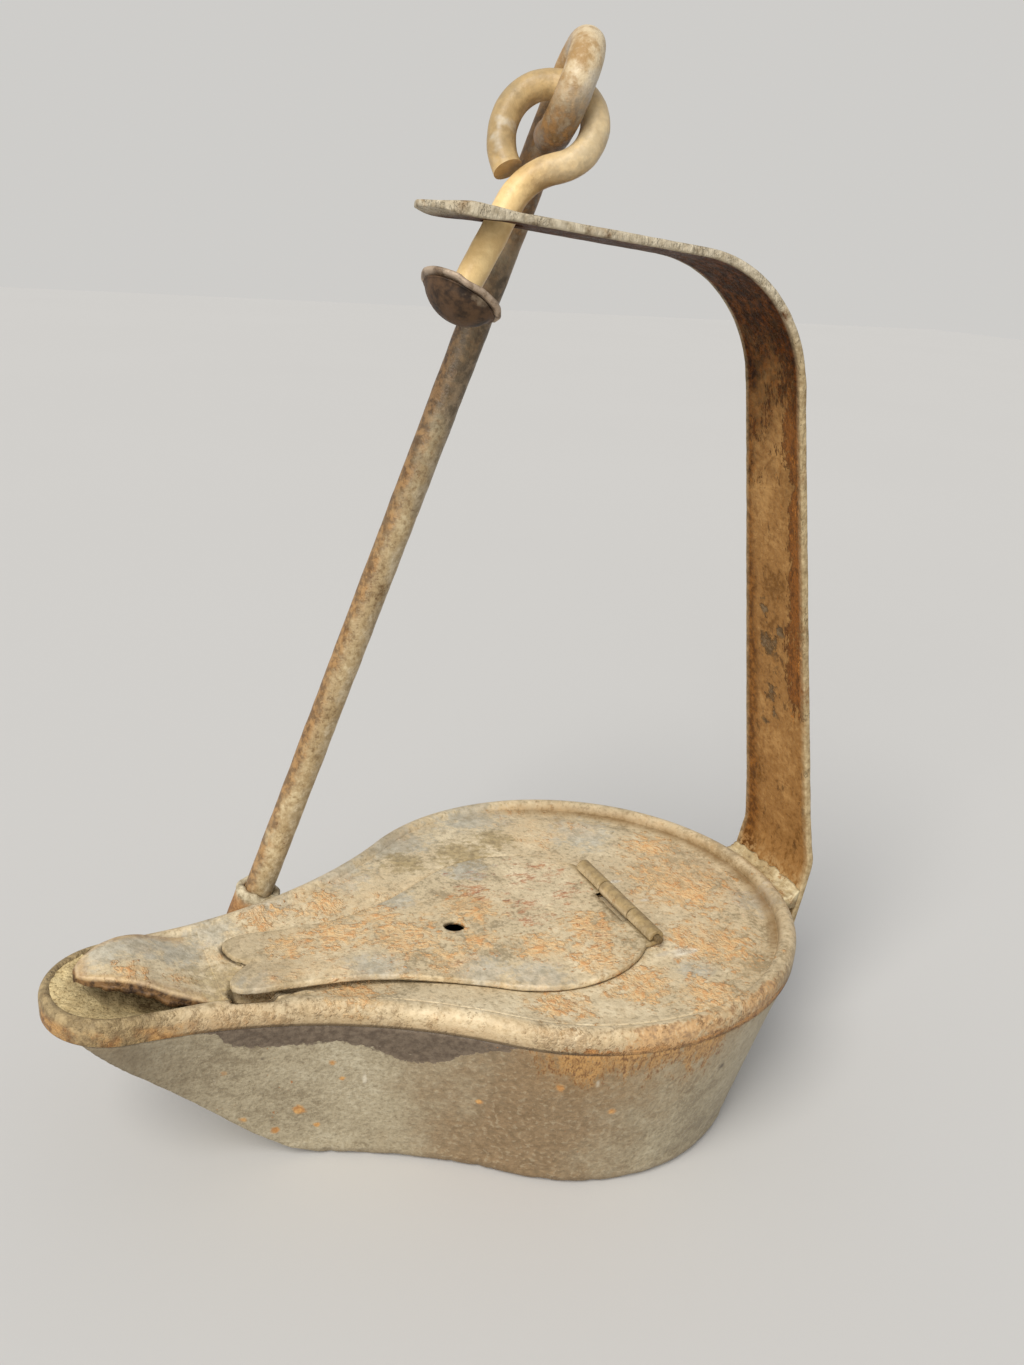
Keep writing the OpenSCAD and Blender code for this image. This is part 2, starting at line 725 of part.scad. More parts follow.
pan();
deck();
spout_hood();
wick_trough();
lid();
lid_hinge_pin();
handle_strap();
handle_solder();
swivel_pin();
swivel_washer();
hanger_rod();
hook_sleeve();
hanger_hook();
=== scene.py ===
import bpy
import bmesh
import math
from mathutils import Matrix, Vector, noise


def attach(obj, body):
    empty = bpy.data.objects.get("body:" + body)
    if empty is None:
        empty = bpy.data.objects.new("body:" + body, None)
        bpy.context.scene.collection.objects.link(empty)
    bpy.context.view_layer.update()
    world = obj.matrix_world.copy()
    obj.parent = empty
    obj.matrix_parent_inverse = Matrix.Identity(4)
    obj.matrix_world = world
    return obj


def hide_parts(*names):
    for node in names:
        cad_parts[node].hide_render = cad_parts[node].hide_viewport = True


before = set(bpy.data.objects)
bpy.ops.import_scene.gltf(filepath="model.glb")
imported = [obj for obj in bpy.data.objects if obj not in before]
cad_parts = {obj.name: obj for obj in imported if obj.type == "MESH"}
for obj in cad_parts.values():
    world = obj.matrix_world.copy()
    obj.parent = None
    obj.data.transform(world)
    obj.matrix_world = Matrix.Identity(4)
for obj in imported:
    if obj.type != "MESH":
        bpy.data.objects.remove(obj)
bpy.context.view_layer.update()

# Pan
# A pear-shaped bowl pressed from thin iron sheet, with a flat base, sloping walls and a nose whose
# underside rises steeply. Its top edge stands up inside the deck's crimped skirt. It carries old grey
# paint with an orange-peel skin, a bare slate-grey patch under the seam and many small rust spots.
mm = 0.001
rim_pear = (-51.3, 11.2, 23.5, 39.0, 80.0)
rim_nose, rim_nose_r, rim_body, rim_body_r, rim_flank_r = rim_pear
rim_top = 33.3
sheet_t = 0.9
wall_in = 1.0
wall_top = 31.7
land_z = 29.9
skirt_low = 29.4
foot_in = 8.0
foot_round = 3.0
keel_x = -27.5
keel_angle = math.radians(44)
keel_slope = math.tan(keel_angle)
keel_blend = 8.0
keel_top = 29.449
back_tuck = 2.5
wall_dent = 0.35
pear_steps = (120, 80, 90)
wall_steps, foot_steps = 30, 8
seam_gap = 0.1


def lerp(a, b, t):
    return a + (b - a) * t


def ease(lo, hi, v):
    t = min(1.0, max(0.0, (v - lo) / (hi - lo)))
    return t * t * (3 - 2 * t)


def rough(x, y, z, size, seed=0.0):
    return noise.noise(Vector((x / size + seed, y / size - seed, z / size + 3.1 * seed)))


def uneven(*at):
    return 0.5 + 0.5 * rough(*at)


def lumpy(*at):
    return max(0.0, rough(*at))


def polar(r, a):
    return r * math.cos(a), r * math.sin(a)


def arc_points(cx, cy, r, a0, a1, n):
    return [(cx + x, cy + y) for x, y in (polar(r, lerp(a0, a1, k / n)) for k in range(n + 1))]


def flank_centre(pear):
    nose_x, nose_r, body_x, body_r, flank_r = pear
    a, b, d = nose_r + flank_r, body_r + flank_r, body_x - nose_x
    u = (a * a - b * b + d * d) / (2 * d)
    return nose_x + u, math.sqrt(a * a - u * u)


def pear_outline(pear, inset):
    nose_x, nose_r, body_x, body_r, flank_r = pear
    cx, cy = flank_centre(pear)
    an, ab = math.atan2(cy, cx - nose_x), math.atan2(cy, cx - body_x)
    return (arc_points(body_x, 0, body_r - inset, -ab, ab, pear_steps[0])
            + arc_points(cx, cy, flank_r + inset, ab - math.pi, an - math.pi, pear_steps[1])[1:-1]
            + arc_points(nose_x, 0, nose_r - inset, an, 2 * math.pi - an, pear_steps[2])
            + arc_points(cx, -cy, flank_r + inset, math.pi - an, math.pi - ab, pear_steps[1])[1:-1])


def loft(rings, closed=False, start=0):
    n, faces = len(rings[0]), []
    for r in range(len(rings) if closed else len(rings) - 1):
        for k in range(n):
            a, b = r * n, (r + 1) % len(rings) * n
            faces.append([start + a + k, start + a + (k + 1) % n, start + b + (k + 1) % n, start + b + k])
    return faces


def pear_cap(base, n):
    tip = pear_steps[0] // 2
    pairs = [((tip + k) % n, (tip - k) % n) for k in range(n // 2 + 1)]
    return [[base + v for v in dict.fromkeys((a, c, d, b))] for (a, b), (c, d) in zip(pairs, pairs[1:])]


def put(name, data):
    obj = bpy.data.objects.new(name, data)
    bpy.context.scene.collection.objects.link(obj)
    return obj


def sheet_metal(name, rows, faces, recalc=True):
    mesh = bpy.data.meshes.new(name)
    mesh.from_pydata([tuple(c * mm for c in p) for row in rows for p in row], [], faces)
    bm = bmesh.new()
    bm.from_mesh(mesh)
    bmesh.ops.remove_doubles(bm, verts=bm.verts, dist=2e-6)
    if recalc:
        bmesh.ops.recalc_face_normals(bm, faces=bm.faces)
    for f in bm.faces:
        f.smooth = True
    bm.to_mesh(mesh)
    bm.free()
    return put(name, mesh)


def evaluated(obj):
    bpy.context.view_layer.update()
    return bpy.data.meshes.new_from_object(obj.evaluated_get(bpy.context.evaluated_depsgraph_get()))


def finished(obj):
    mesh = evaluated(obj)
    obj.modifiers.clear()
    obj.data = mesh
    return obj


def one_piece(name, objs):
    bm = bmesh.new()
    for o in objs:
        bm.from_mesh(o.data)
    mesh = bpy.data.meshes.new(name)
    bm.to_mesh(mesh)
    bm.free()
    for o in objs:
        bpy.data.objects.remove(o)
    return put(name, mesh)


def mark(obj, name, rule):
    layer = obj.data.attributes.new(name, "FLOAT", "POINT")
    for v, d in zip(obj.data.vertices, layer.data):
        d.value = rule(v.co.x * 1000, v.co.y * 1000, v.co.z * 1000)


def keel(x):
    run = keel_x - x
    if run < -keel_blend:
        return 0.0
    return min(keel_top,
               keel_slope * (run if run > keel_blend else (run + keel_blend) ** 2 / (4 * keel_blend)))


def wall_ring(inset, z, lift, dent):
    ring = []
    for p, q in zip(pear_outline(rim_pear, inset), pear_outline(rim_pear, inset + 1)):
        soft = dent * uneven(p[0], p[1], z, 17.0, 4.0) + dent * 0.5 * lumpy(p[0], p[1], z, 6.0, 9.0)
        soft += dent * 1.4 * lumpy(p[0], p[1], z, 1.9, 5.0) * ease(9.0, 1.5, z)
        x, y = lerp(p[0], q[0], soft), lerp(p[1], q[1], soft)
        x -= back_tuck * max(0.0, 1 - z / land_z) * max(0.0, (x - rim_body) / rim_body_r)
        ring.append((x, y, max(z, keel(x) + lift)))
    return ring


def wall_rings(skin):
    lift = skin / math.cos(keel_angle)
    proud = wall_in if skin else 0.3
    high, low = skirt_low + seam_gap, skirt_low - seam_gap
    rings = [wall_ring(wall_in + skin, wall_top, 0, 0), wall_ring(wall_in + skin, high, lift, 0),
             wall_ring(proud + skin, low, lift, 0)]
    foot = foot_round * 0.6
    for k in range(1, wall_steps):
        t = k / wall_steps
        rings.append(wall_ring(lerp(proud, foot_in - foot, t) + skin, lerp(low, foot_round, t), lift,
                               wall_dent * ease(0, 0.2, t)))
    for k in range(foot_steps + 1):
        f = math.radians(90 / foot_steps * k)
        rings.append(wall_ring(foot_in - foot * math.cos(f) + skin,
                               foot_round * (1 - math.sin(f)) + skin * math.sin(f), lift, wall_dent))
    return rings


outer, inner = wall_rings(0), wall_rings(sheet_t)
n = len(outer[0])
inside = len(outer) * n
faces = loft(outer) + loft(inner, start=inside)
faces += [[k, (k + 1) % n, (k + 1) % n + inside, k + inside] for k in range(n)]
faces += pear_cap(inside - n, n) + pear_cap(2 * inside - n, n)
pan = sheet_metal("pan_bowl", outer + inner, faces)


# Adds a node to the tree of the sockets that it is given and joins them to its inputs
def tool(kind, sockets, **settings):
    tree = next(v.id_data for v in sockets.values() if isinstance(v, bpy.types.NodeSocket))
    made = tree.nodes.new(kind)
    for key, value in settings.items():
        setattr(made, key, value)
    for key, value in sockets.items():
        if isinstance(value, bpy.types.NodeSocket):
            tree.links.new(value, made.inputs[key])
        else:
            made.inputs[key].default_value = value
    return made


def grain(place, scale, detail, roughness, seed, distort=0.0):
    return tool("ShaderNodeTexNoise",
                {"Vector": place, "W": seed, "Scale": scale, "Detail": detail, "Roughness": roughness,
                 "Distortion": distort}, noise_dimensions="4D").outputs["Fac"]


def sums(work, *values):
    total = values[0]
    for v in values[1:]:
        total = tool("ShaderNodeMath", {0: total, 1: v}, operation=work).outputs[0]
    return total


def times(*values):
    return sums("MULTIPLY", *values)


def plus(*values):
    return sums("ADD", *values)


def minus(a, b):
    return sums("SUBTRACT", a, b)


def window(value, lo, hi, to_lo=0.0, to_hi=1.0):
    return tool("ShaderNodeMapRange",
                {"Value": value, "From Min": lo, "From Max": hi, "To Min": to_lo, "To Max": to_hi},
                interpolation_type="SMOOTHSTEP").outputs["Result"]


def over(mask, under, top):
    return tool("ShaderNodeMix", {0: mask, 6: under, 7: top}, data_type="RGBA").outputs[2]


def srgb(r, g, b):
    return tuple(c / 3294.6 if c <= 10 else ((c / 255 + 0.055) / 1.055) ** 2.4 for c in (r, g, b)) + (1.0,)


def effect(name, ins, outs, use="Shader"):
    tree = bpy.data.node_groups.new(name, use + "NodeTree")
    for label, kind, value in ins:
        made = tree.interface.new_socket(label, in_out="INPUT", socket_type="NodeSocket" + kind)
        if value is not None:
            made.default_value = value
    for label, kind in outs:
        tree.interface.new_socket(label, in_out="OUTPUT", socket_type="NodeSocket" + kind)
    return tree, tree.nodes.new("NodeGroupInput").outputs, tree.nodes.new("NodeGroupOutput").inputs


# Old paint: three tones clouded at three scales and peppered with grit, with the height of its skin
aged_paint, given, gives = effect("Aged paint",
                                  [("Vector", "Vector", None), ("Pale", "Color", (0.5, 0.4, 0.3, 1)),
                                   ("Middle", "Color", (0.3, 0.25, 0.2, 1)),
                                   ("Dark", "Color", (0.1, 0.1, 0.1, 1)), ("Scale", "Float", 200.0),
                                   ("Grit", "Float", 0.5), ("Seed", "Float", 0.0)],
                                  [("Color", "Color"), ("Height", "Float")])
cloud = grain(given["Vector"], times(given["Scale"], 0.17), 4, 0.6, given["Seed"], 0.3)
mottle = grain(given["Vector"], given["Scale"], 6, 0.66, given["Seed"])
speck = grain(given["Vector"], times(given["Scale"], 5.0), 4, 0.62, given["Seed"])
grit = grain(given["Vector"], times(given["Scale"], 11.0), 2, 0.6, given["Seed"])
tone = plus(times(mottle, 0.34), times(speck, 0.26), times(cloud, 0.40))
low = over(window(tone, 0.41, 0.50), given["Dark"], given["Middle"])
high = over(window(tone, 0.50, 0.60), low, given["Pale"])
pitted = over(times(window(speck, 0.48, 0.36), given["Grit"]), high, given["Dark"])
aged_paint.links.new(over(times(window(grit, 0.54, 0.70), given["Grit"]), pitted, given["Pale"]),
                     gives["Color"])
aged_paint.links.new(plus(times(speck, 0.4), times(grit, 0.25), times(mottle, 0.35)), gives["Height"])

# Rust: grainy patches that gather where Zone is high, with darker grains in them
rust_bloom, given, gives = effect("Rust bloom",
                                  [("Vector", "Vector", None), ("Scale", "Float", 120.0),
                                   ("Zone", "Float", 0.5), ("Start", "Float", 0.50), ("Full", "Float", 0.56),
                                   ("Seed", "Float", 0.0), ("Edge", "Color", (0.55, 0.30, 0.12, 1)),
                                   ("Core", "Color", (0.22, 0.09, 0.03, 1))],
                                  [("Mask", "Float"), ("Color", "Color"), ("Height", "Float")])
patch = grain(given["Vector"], given["Scale"], 5, 0.62, given["Seed"], 0.4)
pits = grain(given["Vector"], times(given["Scale"], 4.5), 4, 0.65, given["Seed"])
grit = grain(given["Vector"], times(given["Scale"], 12.0), 2, 0.6, given["Seed"])
mixed = plus(times(pits, 0.33), times(grit, 0.25), times(patch, 0.42), times(given["Zone"], 0.32))
shifted = minus(mixed, 0.16)
limit = tool("ShaderNodeMapRange", {"Value": shifted, "From Min": given["Start"], "From Max": given["Full"]},
             interpolation_type="SMOOTHSTEP").outputs["Result"]
core = window(plus(times(pits, 0.6), times(grit, 0.4)), 0.46, 0.60)
rust_bloom.links.new(limit, gives["Mask"])
rust_bloom.links.new(over(core, given["Edge"], given["Core"]), gives["Color"])
rust_bloom.links.new(times(limit, pits), gives["Height"])


def old_paint(place, scale, grit, pale, middle, dark, seed):
    return tool("ShaderNodeGroup",
                {"Vector": place, "Scale": scale, "Grit": grit, "Pale": srgb(*pale), "Middle": srgb(*middle),
                 "Dark": srgb(*dark), "Seed": seed}, node_tree=aged_paint).outputs


def rust(place, scale, zone, limits, seed, edge, core):
    return tool("ShaderNodeGroup",
                {"Vector": place, "Scale": scale, "Zone": zone, "Start": limits[0], "Full": limits[1],
                 "Seed": seed, "Edge": srgb(*edge), "Core": srgb(*core)}, node_tree=rust_bloom).outputs


def rust_over(color, bloom, amount):
    return over(times(bloom["Mask"], amount), color, bloom["Color"])


def finish_coat(name, metallic=0.0, specular=0.35):
    material = bpy.data.materials.new(name)
    material.use_nodes = True
    tree = material.node_tree
    shader = tree.nodes["Principled BSDF"]
    shader.inputs["Metallic"].default_value = metallic
    shader.inputs["Specular IOR Level"].default_value = specular
    return material, shader, tree.nodes.new("ShaderNodeTexCoord").outputs["Object"]


def coat_done(shader, color, height, roughness, depth, strength):
    bump = tool("ShaderNodeBump", {"Height": height, "Distance": depth, "Strength": strength})
    for key, value in (("Base Color", color), ("Roughness", roughness), ("Normal", bump.outputs["Normal"])):
        shader.id_data.links.new(value, shader.inputs[key])


def coords(place):
    return tool("ShaderNodeSeparateXYZ", {0: place}).outputs


def stretched(place, scale):
    return tool("ShaderNodeMapping", {"Vector": place, "Scale": scale}).outputs[0]


def drift(place, scale, detail, roughness, seed=0.0):
    return minus(grain(place, scale, detail, roughness, seed), 0.5)


def two_tone(value, lo, hi, first, second):
    return over(window(value, lo, hi), srgb(*first), srgb(*second))


def spots_at(place, centres, ragged=0.5, squash=(1.0, 1.0, 1.0)):
    total = None
    wobble = drift(place, 600, 5, 0.68)
    at = tool("ShaderNodeVectorMath", {0: place, 1: squash}, operation="MULTIPLY").outputs[0]
    for c in centres:
        centre, size = tuple(v * s * mm for v, s in zip(c, squash)), c[3] * mm
        away = tool("ShaderNodeVectorMath", {0: at, 1: centre}, operation="DISTANCE").outputs["Value"]
        one = window(plus(away, times(wobble, size * ragged * 4)), size, size * 0.35)
        total = one if total is None else sums("MAXIMUM", total, one)
    return total


coat, shader, place = finish_coat("pan_grey_paint")
paint = old_paint(place, 430.0, 0.5, (184, 173, 147), (166, 153, 126), (138, 124, 99), 1.0)
xyz = coords(place)
stray = drift(place, 130, 6, 0.65, 5.0)
fine = grain(place, 900, 4, 0.62, 3.0)
peel = grain(place, 1250, 2, 0.5, 14.0)
middle = tool("ShaderNodeMath", {0: minus(plus(xyz["X"], times(stray, 0.03)), 0.004)},
              operation="ABSOLUTE").outputs[0]
color = over(times(window(middle, 0.022, 0.003), 0.88), paint["Color"],
             two_tone(fine, 0.3, 0.7, (112, 88, 58), (144, 118, 86)))
color = over(window(peel, 0.50, 0.34, 0.0, 0.28), color, srgb(112, 98, 74))
color = over(window(peel, 0.54, 0.68, 0.0, 0.28), color, srgb(192, 180, 152))
# Painted shade: the nose end of the pan is darkened, standing in for the shade on its steep underside.
color = over(window(xyz["X"], -0.034, -0.056, 0.0, 0.7), color, srgb(106, 91, 70))
near = window(xyz["Y"], -0.003, -0.006)
along = tool("ShaderNodeMapRange", {"Value": xyz["X"], "From Min": -0.042, "From Max": 0.0}).outputs["Result"]
edge = tool("ShaderNodeFloatCurve", {"Value": along})
ends = edge.mapping.curves[0].points
ends[0].location, ends[1].location = (0.0, 0.79), (1.0, 0.79)
for spot in ((0.05, 0.71), (0.09, 0.56), (0.17, 0.43), (0.34, 0.44), (0.47, 0.475), (0.62, 0.31),
             (0.70, 0.20), (0.79, 0.27), (0.86, 0.475), (0.955, 0.65)):
    ends.new(*spot)
edge.mapping.update()
drop = minus(xyz["Z"], times(edge.outputs[0], 0.012))
drop = plus(minus(drop, 0.020), times(minus(fine, 0.5), 0.003))
bare = times(window(drop, -0.0002, 0.0002), near)
color = over(bare, color, two_tone(fine, 0.34, 0.66, (88, 74, 60), (116, 101, 84)))
below = minus(0.0302, xyz["Z"])
streaky = stretched(place, (1.0, 1.0, 0.3))
rusty = times(window(plus(below, times(stray, 0.02)), 0.016, 0.001), window(xyz["X"], -0.003, 0.006),
              window(xyz["X"], 0.046, 0.024), near)
color = over(times(rusty, 0.4), color, srgb(150, 116, 72))
bloom = rust(streaky, 330.0, times(rusty, 0.68), (0.47, 0.56), 2.0, (190, 144, 84), (118, 78, 40))
color = rust_over(color, bloom, 0.8)
fleck = rust(place, 300.0, 0.5, (0.615, 0.64), 7.0, (204, 154, 96), (160, 106, 60))
color = over(fleck["Mask"], color, fleck["Color"])
drops = spots_at(place,
                 [(-27, -10.5, 10.7, 1.3), (-21.4, -14.1, 17.9, 0.7), (-2.9, -24.1, 15.8, 0.7),
                  (-23.1, -14.2, 21.5, 0.8), (-38.1, -9.5, 20.2, 0.8), (-42.4, -8.3, 20.3, 0.7),
                  (-30.3, -8.7, 6.2, 1.0), (-35.2, -7.9, 9.3, 0.8), (-38.4, -6.8, 10, 0.8),
                  (-24.2, -10.8, 7.2, 0.7), (14.4, -34.3, 17, 1.0), (6.2, -32.1, 22.2, 1.2)])
color = over(drops, color, two_tone(fine, 0.4, 0.6, (206, 158, 96), (176, 124, 70)))
nicks = spots_at(place,
                 [(-39.5, -9.0, 20.2, 0.55), (-18.3, -15.6, 18.5, 0.5), (11, -34.8, 24.6, 0.55),
                  (-50, -6, 24, 0.5), (26, -36, 12, 0.5)], 0.3, (1.0, 1.0, 0.22))
color = over(times(nicks, 0.8), color, srgb(206, 196, 174))
chips = spots_at(place,
                 [(-18.3, -17, 25.3, 0.9), (32.8, -34.9, 20.8, 1.1), (-46, -8, 25, 0.8),
                  (-33, -12, 22.5, 0.7)])
color = over(times(chips, 0.8), color, srgb(84, 72, 58))
scuff = window(grain(stretched(place, (1, 1, 4)), 260, 4, 0.7, 11.0), 0.68, 0.74)
color = over(times(scuff, 0.6), color, srgb(208, 196, 168))
color = over(window(xyz["Z"], 0.0024, 0.0006, 0.0, 0.45), color, srgb(110, 90, 64))
height = minus(plus(peel, times(paint["Height"], 0.5)), times(bare, 0.25))
coat_done(shader, color, height, window(paint["Height"], 0.35, 0.65, 0.42, 0.66), 0.0004, 0.6)
pan.data.materials.append(coat)
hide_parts("pan")
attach(pan, "lamp")

# Deck
# The pressed sheet that closes the pan: a soft round shoulder all round, a skirt crimped over the pan's
# wall, a shallow rabbet in which the lid lies, the filler opening below it, and one hinge knuckle rolled up
# from the sheet. Grey-beige paint, widely stained with grainy orange rust, brown in the groove at the back.
# A painted shadow with crevice dirt runs along the lid's tail, and painted shade darkens the pressed
# recess under the lid's near lobe.
bead_w = 3.0
deck_z = 31.7
spout_x = -38.0
fit_y = -3.0
lid_pear = (-30.0, 6.8, 14.0, 20.7, 60.0)
lid_lap = 3.0
hinge = (30.5, -5.2, 33.7)
opening_x = 24.1
knuckle_half = 4.6
knuckle_r = 0.98
knuckle_t = 0.7
knuckle_play = 0.3
bead_z = rim_top - bead_w / 2


def rim_inset(x, y):
    bx, by = x - rim_body, abs(y)
    if x > 2:
        return rim_body_r - math.hypot(bx, by)
    if x < -50:
        return rim_nose_r - math.hypot(x - rim_nose, by)
    cx, cy = flank_centre(rim_pear)
    return math.hypot(x - cx, cy - by) - rim_flank_r


def rim_ring(inset, z, wave):
    ring = []
    for p, q in zip(pear_outline(rim_pear, inset), pear_outline(rim_pear, inset + 1)):
        push = wave * uneven(p[0], p[1], z, 12.0, 2.0) - 0.3 * inset * ease(-38, -47, p[0])
        ring.append((lerp(p[0], q[0], push), lerp(p[1], q[1], push),
                     z - wave * 0.8 * uneven(p[0], p[1], z, 10.0, 6.0)))
    return ring


section = [(sheet_t, bead_z, 0), (sheet_t, skirt_low, 0.0), (0.15, skirt_low, 0.1),
           (0.02, skirt_low + 0.2, 0.1), (0.0, skirt_low + 1.0, 0.1), (0.0, bead_z - 0.5, 0.06),
           (0.0, bead_z, 0.06)]
section += [(bead_w / 2 - bead_w / 2 * math.cos(math.radians(15 * k)),
             bead_z + bead_w / 2 * math.sin(math.radians(15 * k)), 0.06) for k in range(1, 13)]
section += [(bead_w, deck_z - sheet_t, 0), (2.0, deck_z - sheet_t, 0), (2.0, bead_z, 0)]
rings = [rim_ring(*s) for s in section]
bead = sheet_metal("bead", rings, loft(rings, closed=True))

# The lid's outline: a pear whose small end is blunt, split and spread like a fish's tail
tail_edge = [(6.2, -30.6), (6.0, -33.0), (5.5, -34.3), (4.6, -35.1), (3.6, -35.4), (2.0, -35.1), (0.4, -34.5),
             (-1.0, -33.5), (-1.9, -32.4), (-2.6, -33.3), (-4.0, -34.7), (-5.4, -35.8), (-6.6, -36.5),
             (-7.6, -36.7), (-8.6, -36.6), (-9.4, -36.0), (-10.0, -34.8), (-10.4, -32.6), (-10.7, -30.0)]


def fish_tail(p):
    x, y = p
    nose, r = lid_pear[:2]
    wide = 0.32 if y > 0 else 0.10
    if x > nose:
        return x, y * (1 + wide * ease(-12, nose, x)) + fit_y
    part = min(1.0, abs(y) / (math.hypot(x - nose, y) or 1.0))
    x, y = nose - r * (1 - part ** 3.2) ** (1 / 3.2), math.copysign(r * part * (1 + wide), y) + fit_y
    for a, b in zip(tail_edge, tail_edge[1:]):
        if b[0] <= y <= a[0]:
            cut = lerp(a[1], b[1], (y - a[0]) / (b[0] - a[0]))
            x = max(cut, x) if part > 0.93 else cut
    return x, y


def spine(x):
    return min(17.0, max(-28.5, x * 0.9))


border = [(max(p[0], spout_x), p[1]) for p in pear_outline(rim_pear, bead_w - 0.6)]
lid_edge, lid_line = [], []
for p in pear_outline(lid_pear, 0):
    x, y = fish_tail(p)
    if x < -27:
        lid_line.append((x, y))
    hub = spine(x)
    grow = lerp(0.4, -0.8, ease(-26, -31, x)) / (math.hypot(x - hub, y - fit_y) or 1.0)
    lid_edge.append((min(x + (x - hub) * grow, hinge[0] + 3), y + (y - fit_y) * grow))
filler = [(min(p[0], opening_x), p[1] + fit_y) for p in pear_outline(lid_pear, lid_lap)]


def deck_level(x, y, part):
    back, neck = ease(14, 44, x), 1 - ease(-34, -12, x)
    near = ease(-3, -15, y) * (1 - ease(32, 50, x))
    low_side = ease(4, -8, y)
    at_bead = lerp(lerp(lerp(0.75, 0.1, back), 1.42, near), 1.2, neck)
    at_lid = lerp(lerp(1.0, 0.4, low_side), 0.45, neck) * (1 - 0.6 * back)
    at_bead = lerp(at_bead, 0.78, ease(-36.0, -38.0, x) * ease(9.5, 7.0, abs(y)))
    groove = max(0.25 * ease(0, 10, y), back) * (1 - near) * (1 - neck)
    dip = groove * math.exp(-((part - 0.13) / 0.07) ** 2) * 0.6
    return deck_z + lerp(at_bead, at_lid, part ** 0.8) - dip


steps = [0, 0.04, 0.08, 0.12, 0.16, 0.20, 0.26, 0.33, 0.42, 0.52, 0.62, 0.72, 0.82, 0.90, 0.96, 1.0]
rows = []
for part in steps:
    rows.append([])
    for a, b in zip(border, lid_edge):
        x, y = lerp(a[0], b[0], part), lerp(a[1], b[1], part)
        z = deck_level(x, y, part) + 0.12 * rough(x, y, 0, 12.0, 1.0) + 0.05 * rough(x, y, 0, 3.0, 4.0)
        rows[-1].append((x, y, z))
for part in (0.10, 0.4, 0.7, 1.0):
    rows.append([])
    for a, b in zip(lid_edge, filler):
        rows[-1].append((lerp(a[0], b[0], part), lerp(a[1], b[1], part), deck_z))


def thicken(obj, gauge):
    if sum(f.normal.z * f.area for f in obj.data.polygons) < 0:
        obj.data.flip_normals()
    thick = obj.modifiers.new("sheet", "SOLIDIFY")
    thick.thickness, thick.offset = gauge * mm, -1
    return finished(obj)


plate = sheet_metal("plate", rows, loft(rows), recalc=False)
thicken(plate, sheet_t)


def beside(path, k):
    return path[max(k - 1, 0)], path[min(k + 1, len(path) - 1)]


def normal_at(path, k):
    a, b = beside(path, k)
    d = math.dist(a, b)
    return (a[1] - b[1]) / d, (b[0] - a[0]) / d


def rolled(name, path, y0, y1):
    line = [(p, normal_at(path, k)) for k, p in enumerate(path)]
    half = knuckle_t / 2
    loop = [(p[0] + n[0] * half, p[1] + n[1] * half) for p, n in line]
    loop += [(p[0] - n[0] * half, p[1] - n[1] * half) for p, n in reversed(line)]
    rings, slices = [], 10
    for k in range(slices + 1):
        y = lerp(y0, y1, k / slices)
        rings.append([(q[0] + 0.08 * rough(q[0], y, q[1], 4.0, 3.0), y,
                       q[1] + 0.08 * rough(q[0], y, q[1], 4.0, 8.0)) for q in loop])
    m, faces = len(loop), loft(rings)
    for base in (0, slices * m):
        faces += [[base + k, base + k + 1, base + m - 2 - k, base + m - 1 - k] for k in range(len(path) - 1)]
    made = sheet_metal(name, rings, faces)
    bevel = made.modifiers.new("soft edge", "BEVEL")
    bevel.width, bevel.segments, bevel.limit_method = 0.12 * mm, 2, "ANGLE"
    bevel.angle_limit = math.radians(50)
    return finished(made)


def roll_path(lead, a0, a1):
    return lead + arc_points(hinge[0], hinge[2], knuckle_r, math.radians(a0), math.radians(a1), 22)


knuckle = rolled("deck_knuckle", roll_path([(33.4, 31.9), (32.3, 32.3), (31.6, 33.1)], 0, 285),
                 hinge[1] - knuckle_half, hinge[1] + knuckle_half)
deck = one_piece("deck_top", [bead, plate, knuckle])
for v in deck.data.vertices:
    x, y, z = (c * 1000 for c in v.co)
    if y < 0 and z > 31.0:
        v.co.z -= (1.4 * mm * ease(-37.5, -36.8, x) * ease(-30.4, -31.2, x) * ease(0.9, 1.9, rim_inset(x, y))
                   * ease(-7.2, -8.4, y))
mark(deck, "groove",
     lambda x, y, z: math.exp(-((rim_inset(x, y) - 3.6) / 1.1) ** 2) * (0.12 + 0.88 * ease(16, 44, x))
     * ease(-16, -4, y + 0.3 * x) * (1 - ease(-20, -34, x)))
mark(deck, "roll",
     lambda x, y, z: ease(29.0, 29.4, x) * ease(33.2, 32.6, x) * ease(5.2, 4.8, abs(y - hinge[1]))
     * ease(32.2, 32.5, z))
mark(deck, "rounded",
     lambda x, y, z: max(ease(2.3, 0.7, rim_inset(x, y)), ease(3.2, 2.0, rim_inset(x, y)) * ease(-40, -48, x))
     * (1 - 0.6 * ease(8, 20, y)))
mark(deck, "crown", lambda x, y, z: ease(32.6, 33.2, z) * ease(4.0, 2.5, rim_inset(x, y)))
mark(deck, "edge_line", lambda x, y, z: ease(31.9, 29.8, z) * ease(1.2, 0.6, rim_inset(x, y)))
# Nearness to the edge of the lid's tail, which carries a painted shadow along it.
mark(deck, "tail",
     lambda x, y, z: ease(0.75, 0.3, min(math.dist((x, y), p) for p in lid_line)) if x < -26 else 0.0)
mark(deck, "pressed",
     lambda x, y, z: ease(-38.2, -36.5, x) * ease(-30.2, -31.6, x) * ease(0.9, 1.9, rim_inset(x, y))
     * ease(-7, -9, y))


def marked(place, name):
    made = place.id_data.nodes.new("ShaderNodeAttribute")
    made.attribute_name = name
    return made.outputs["Fac"]


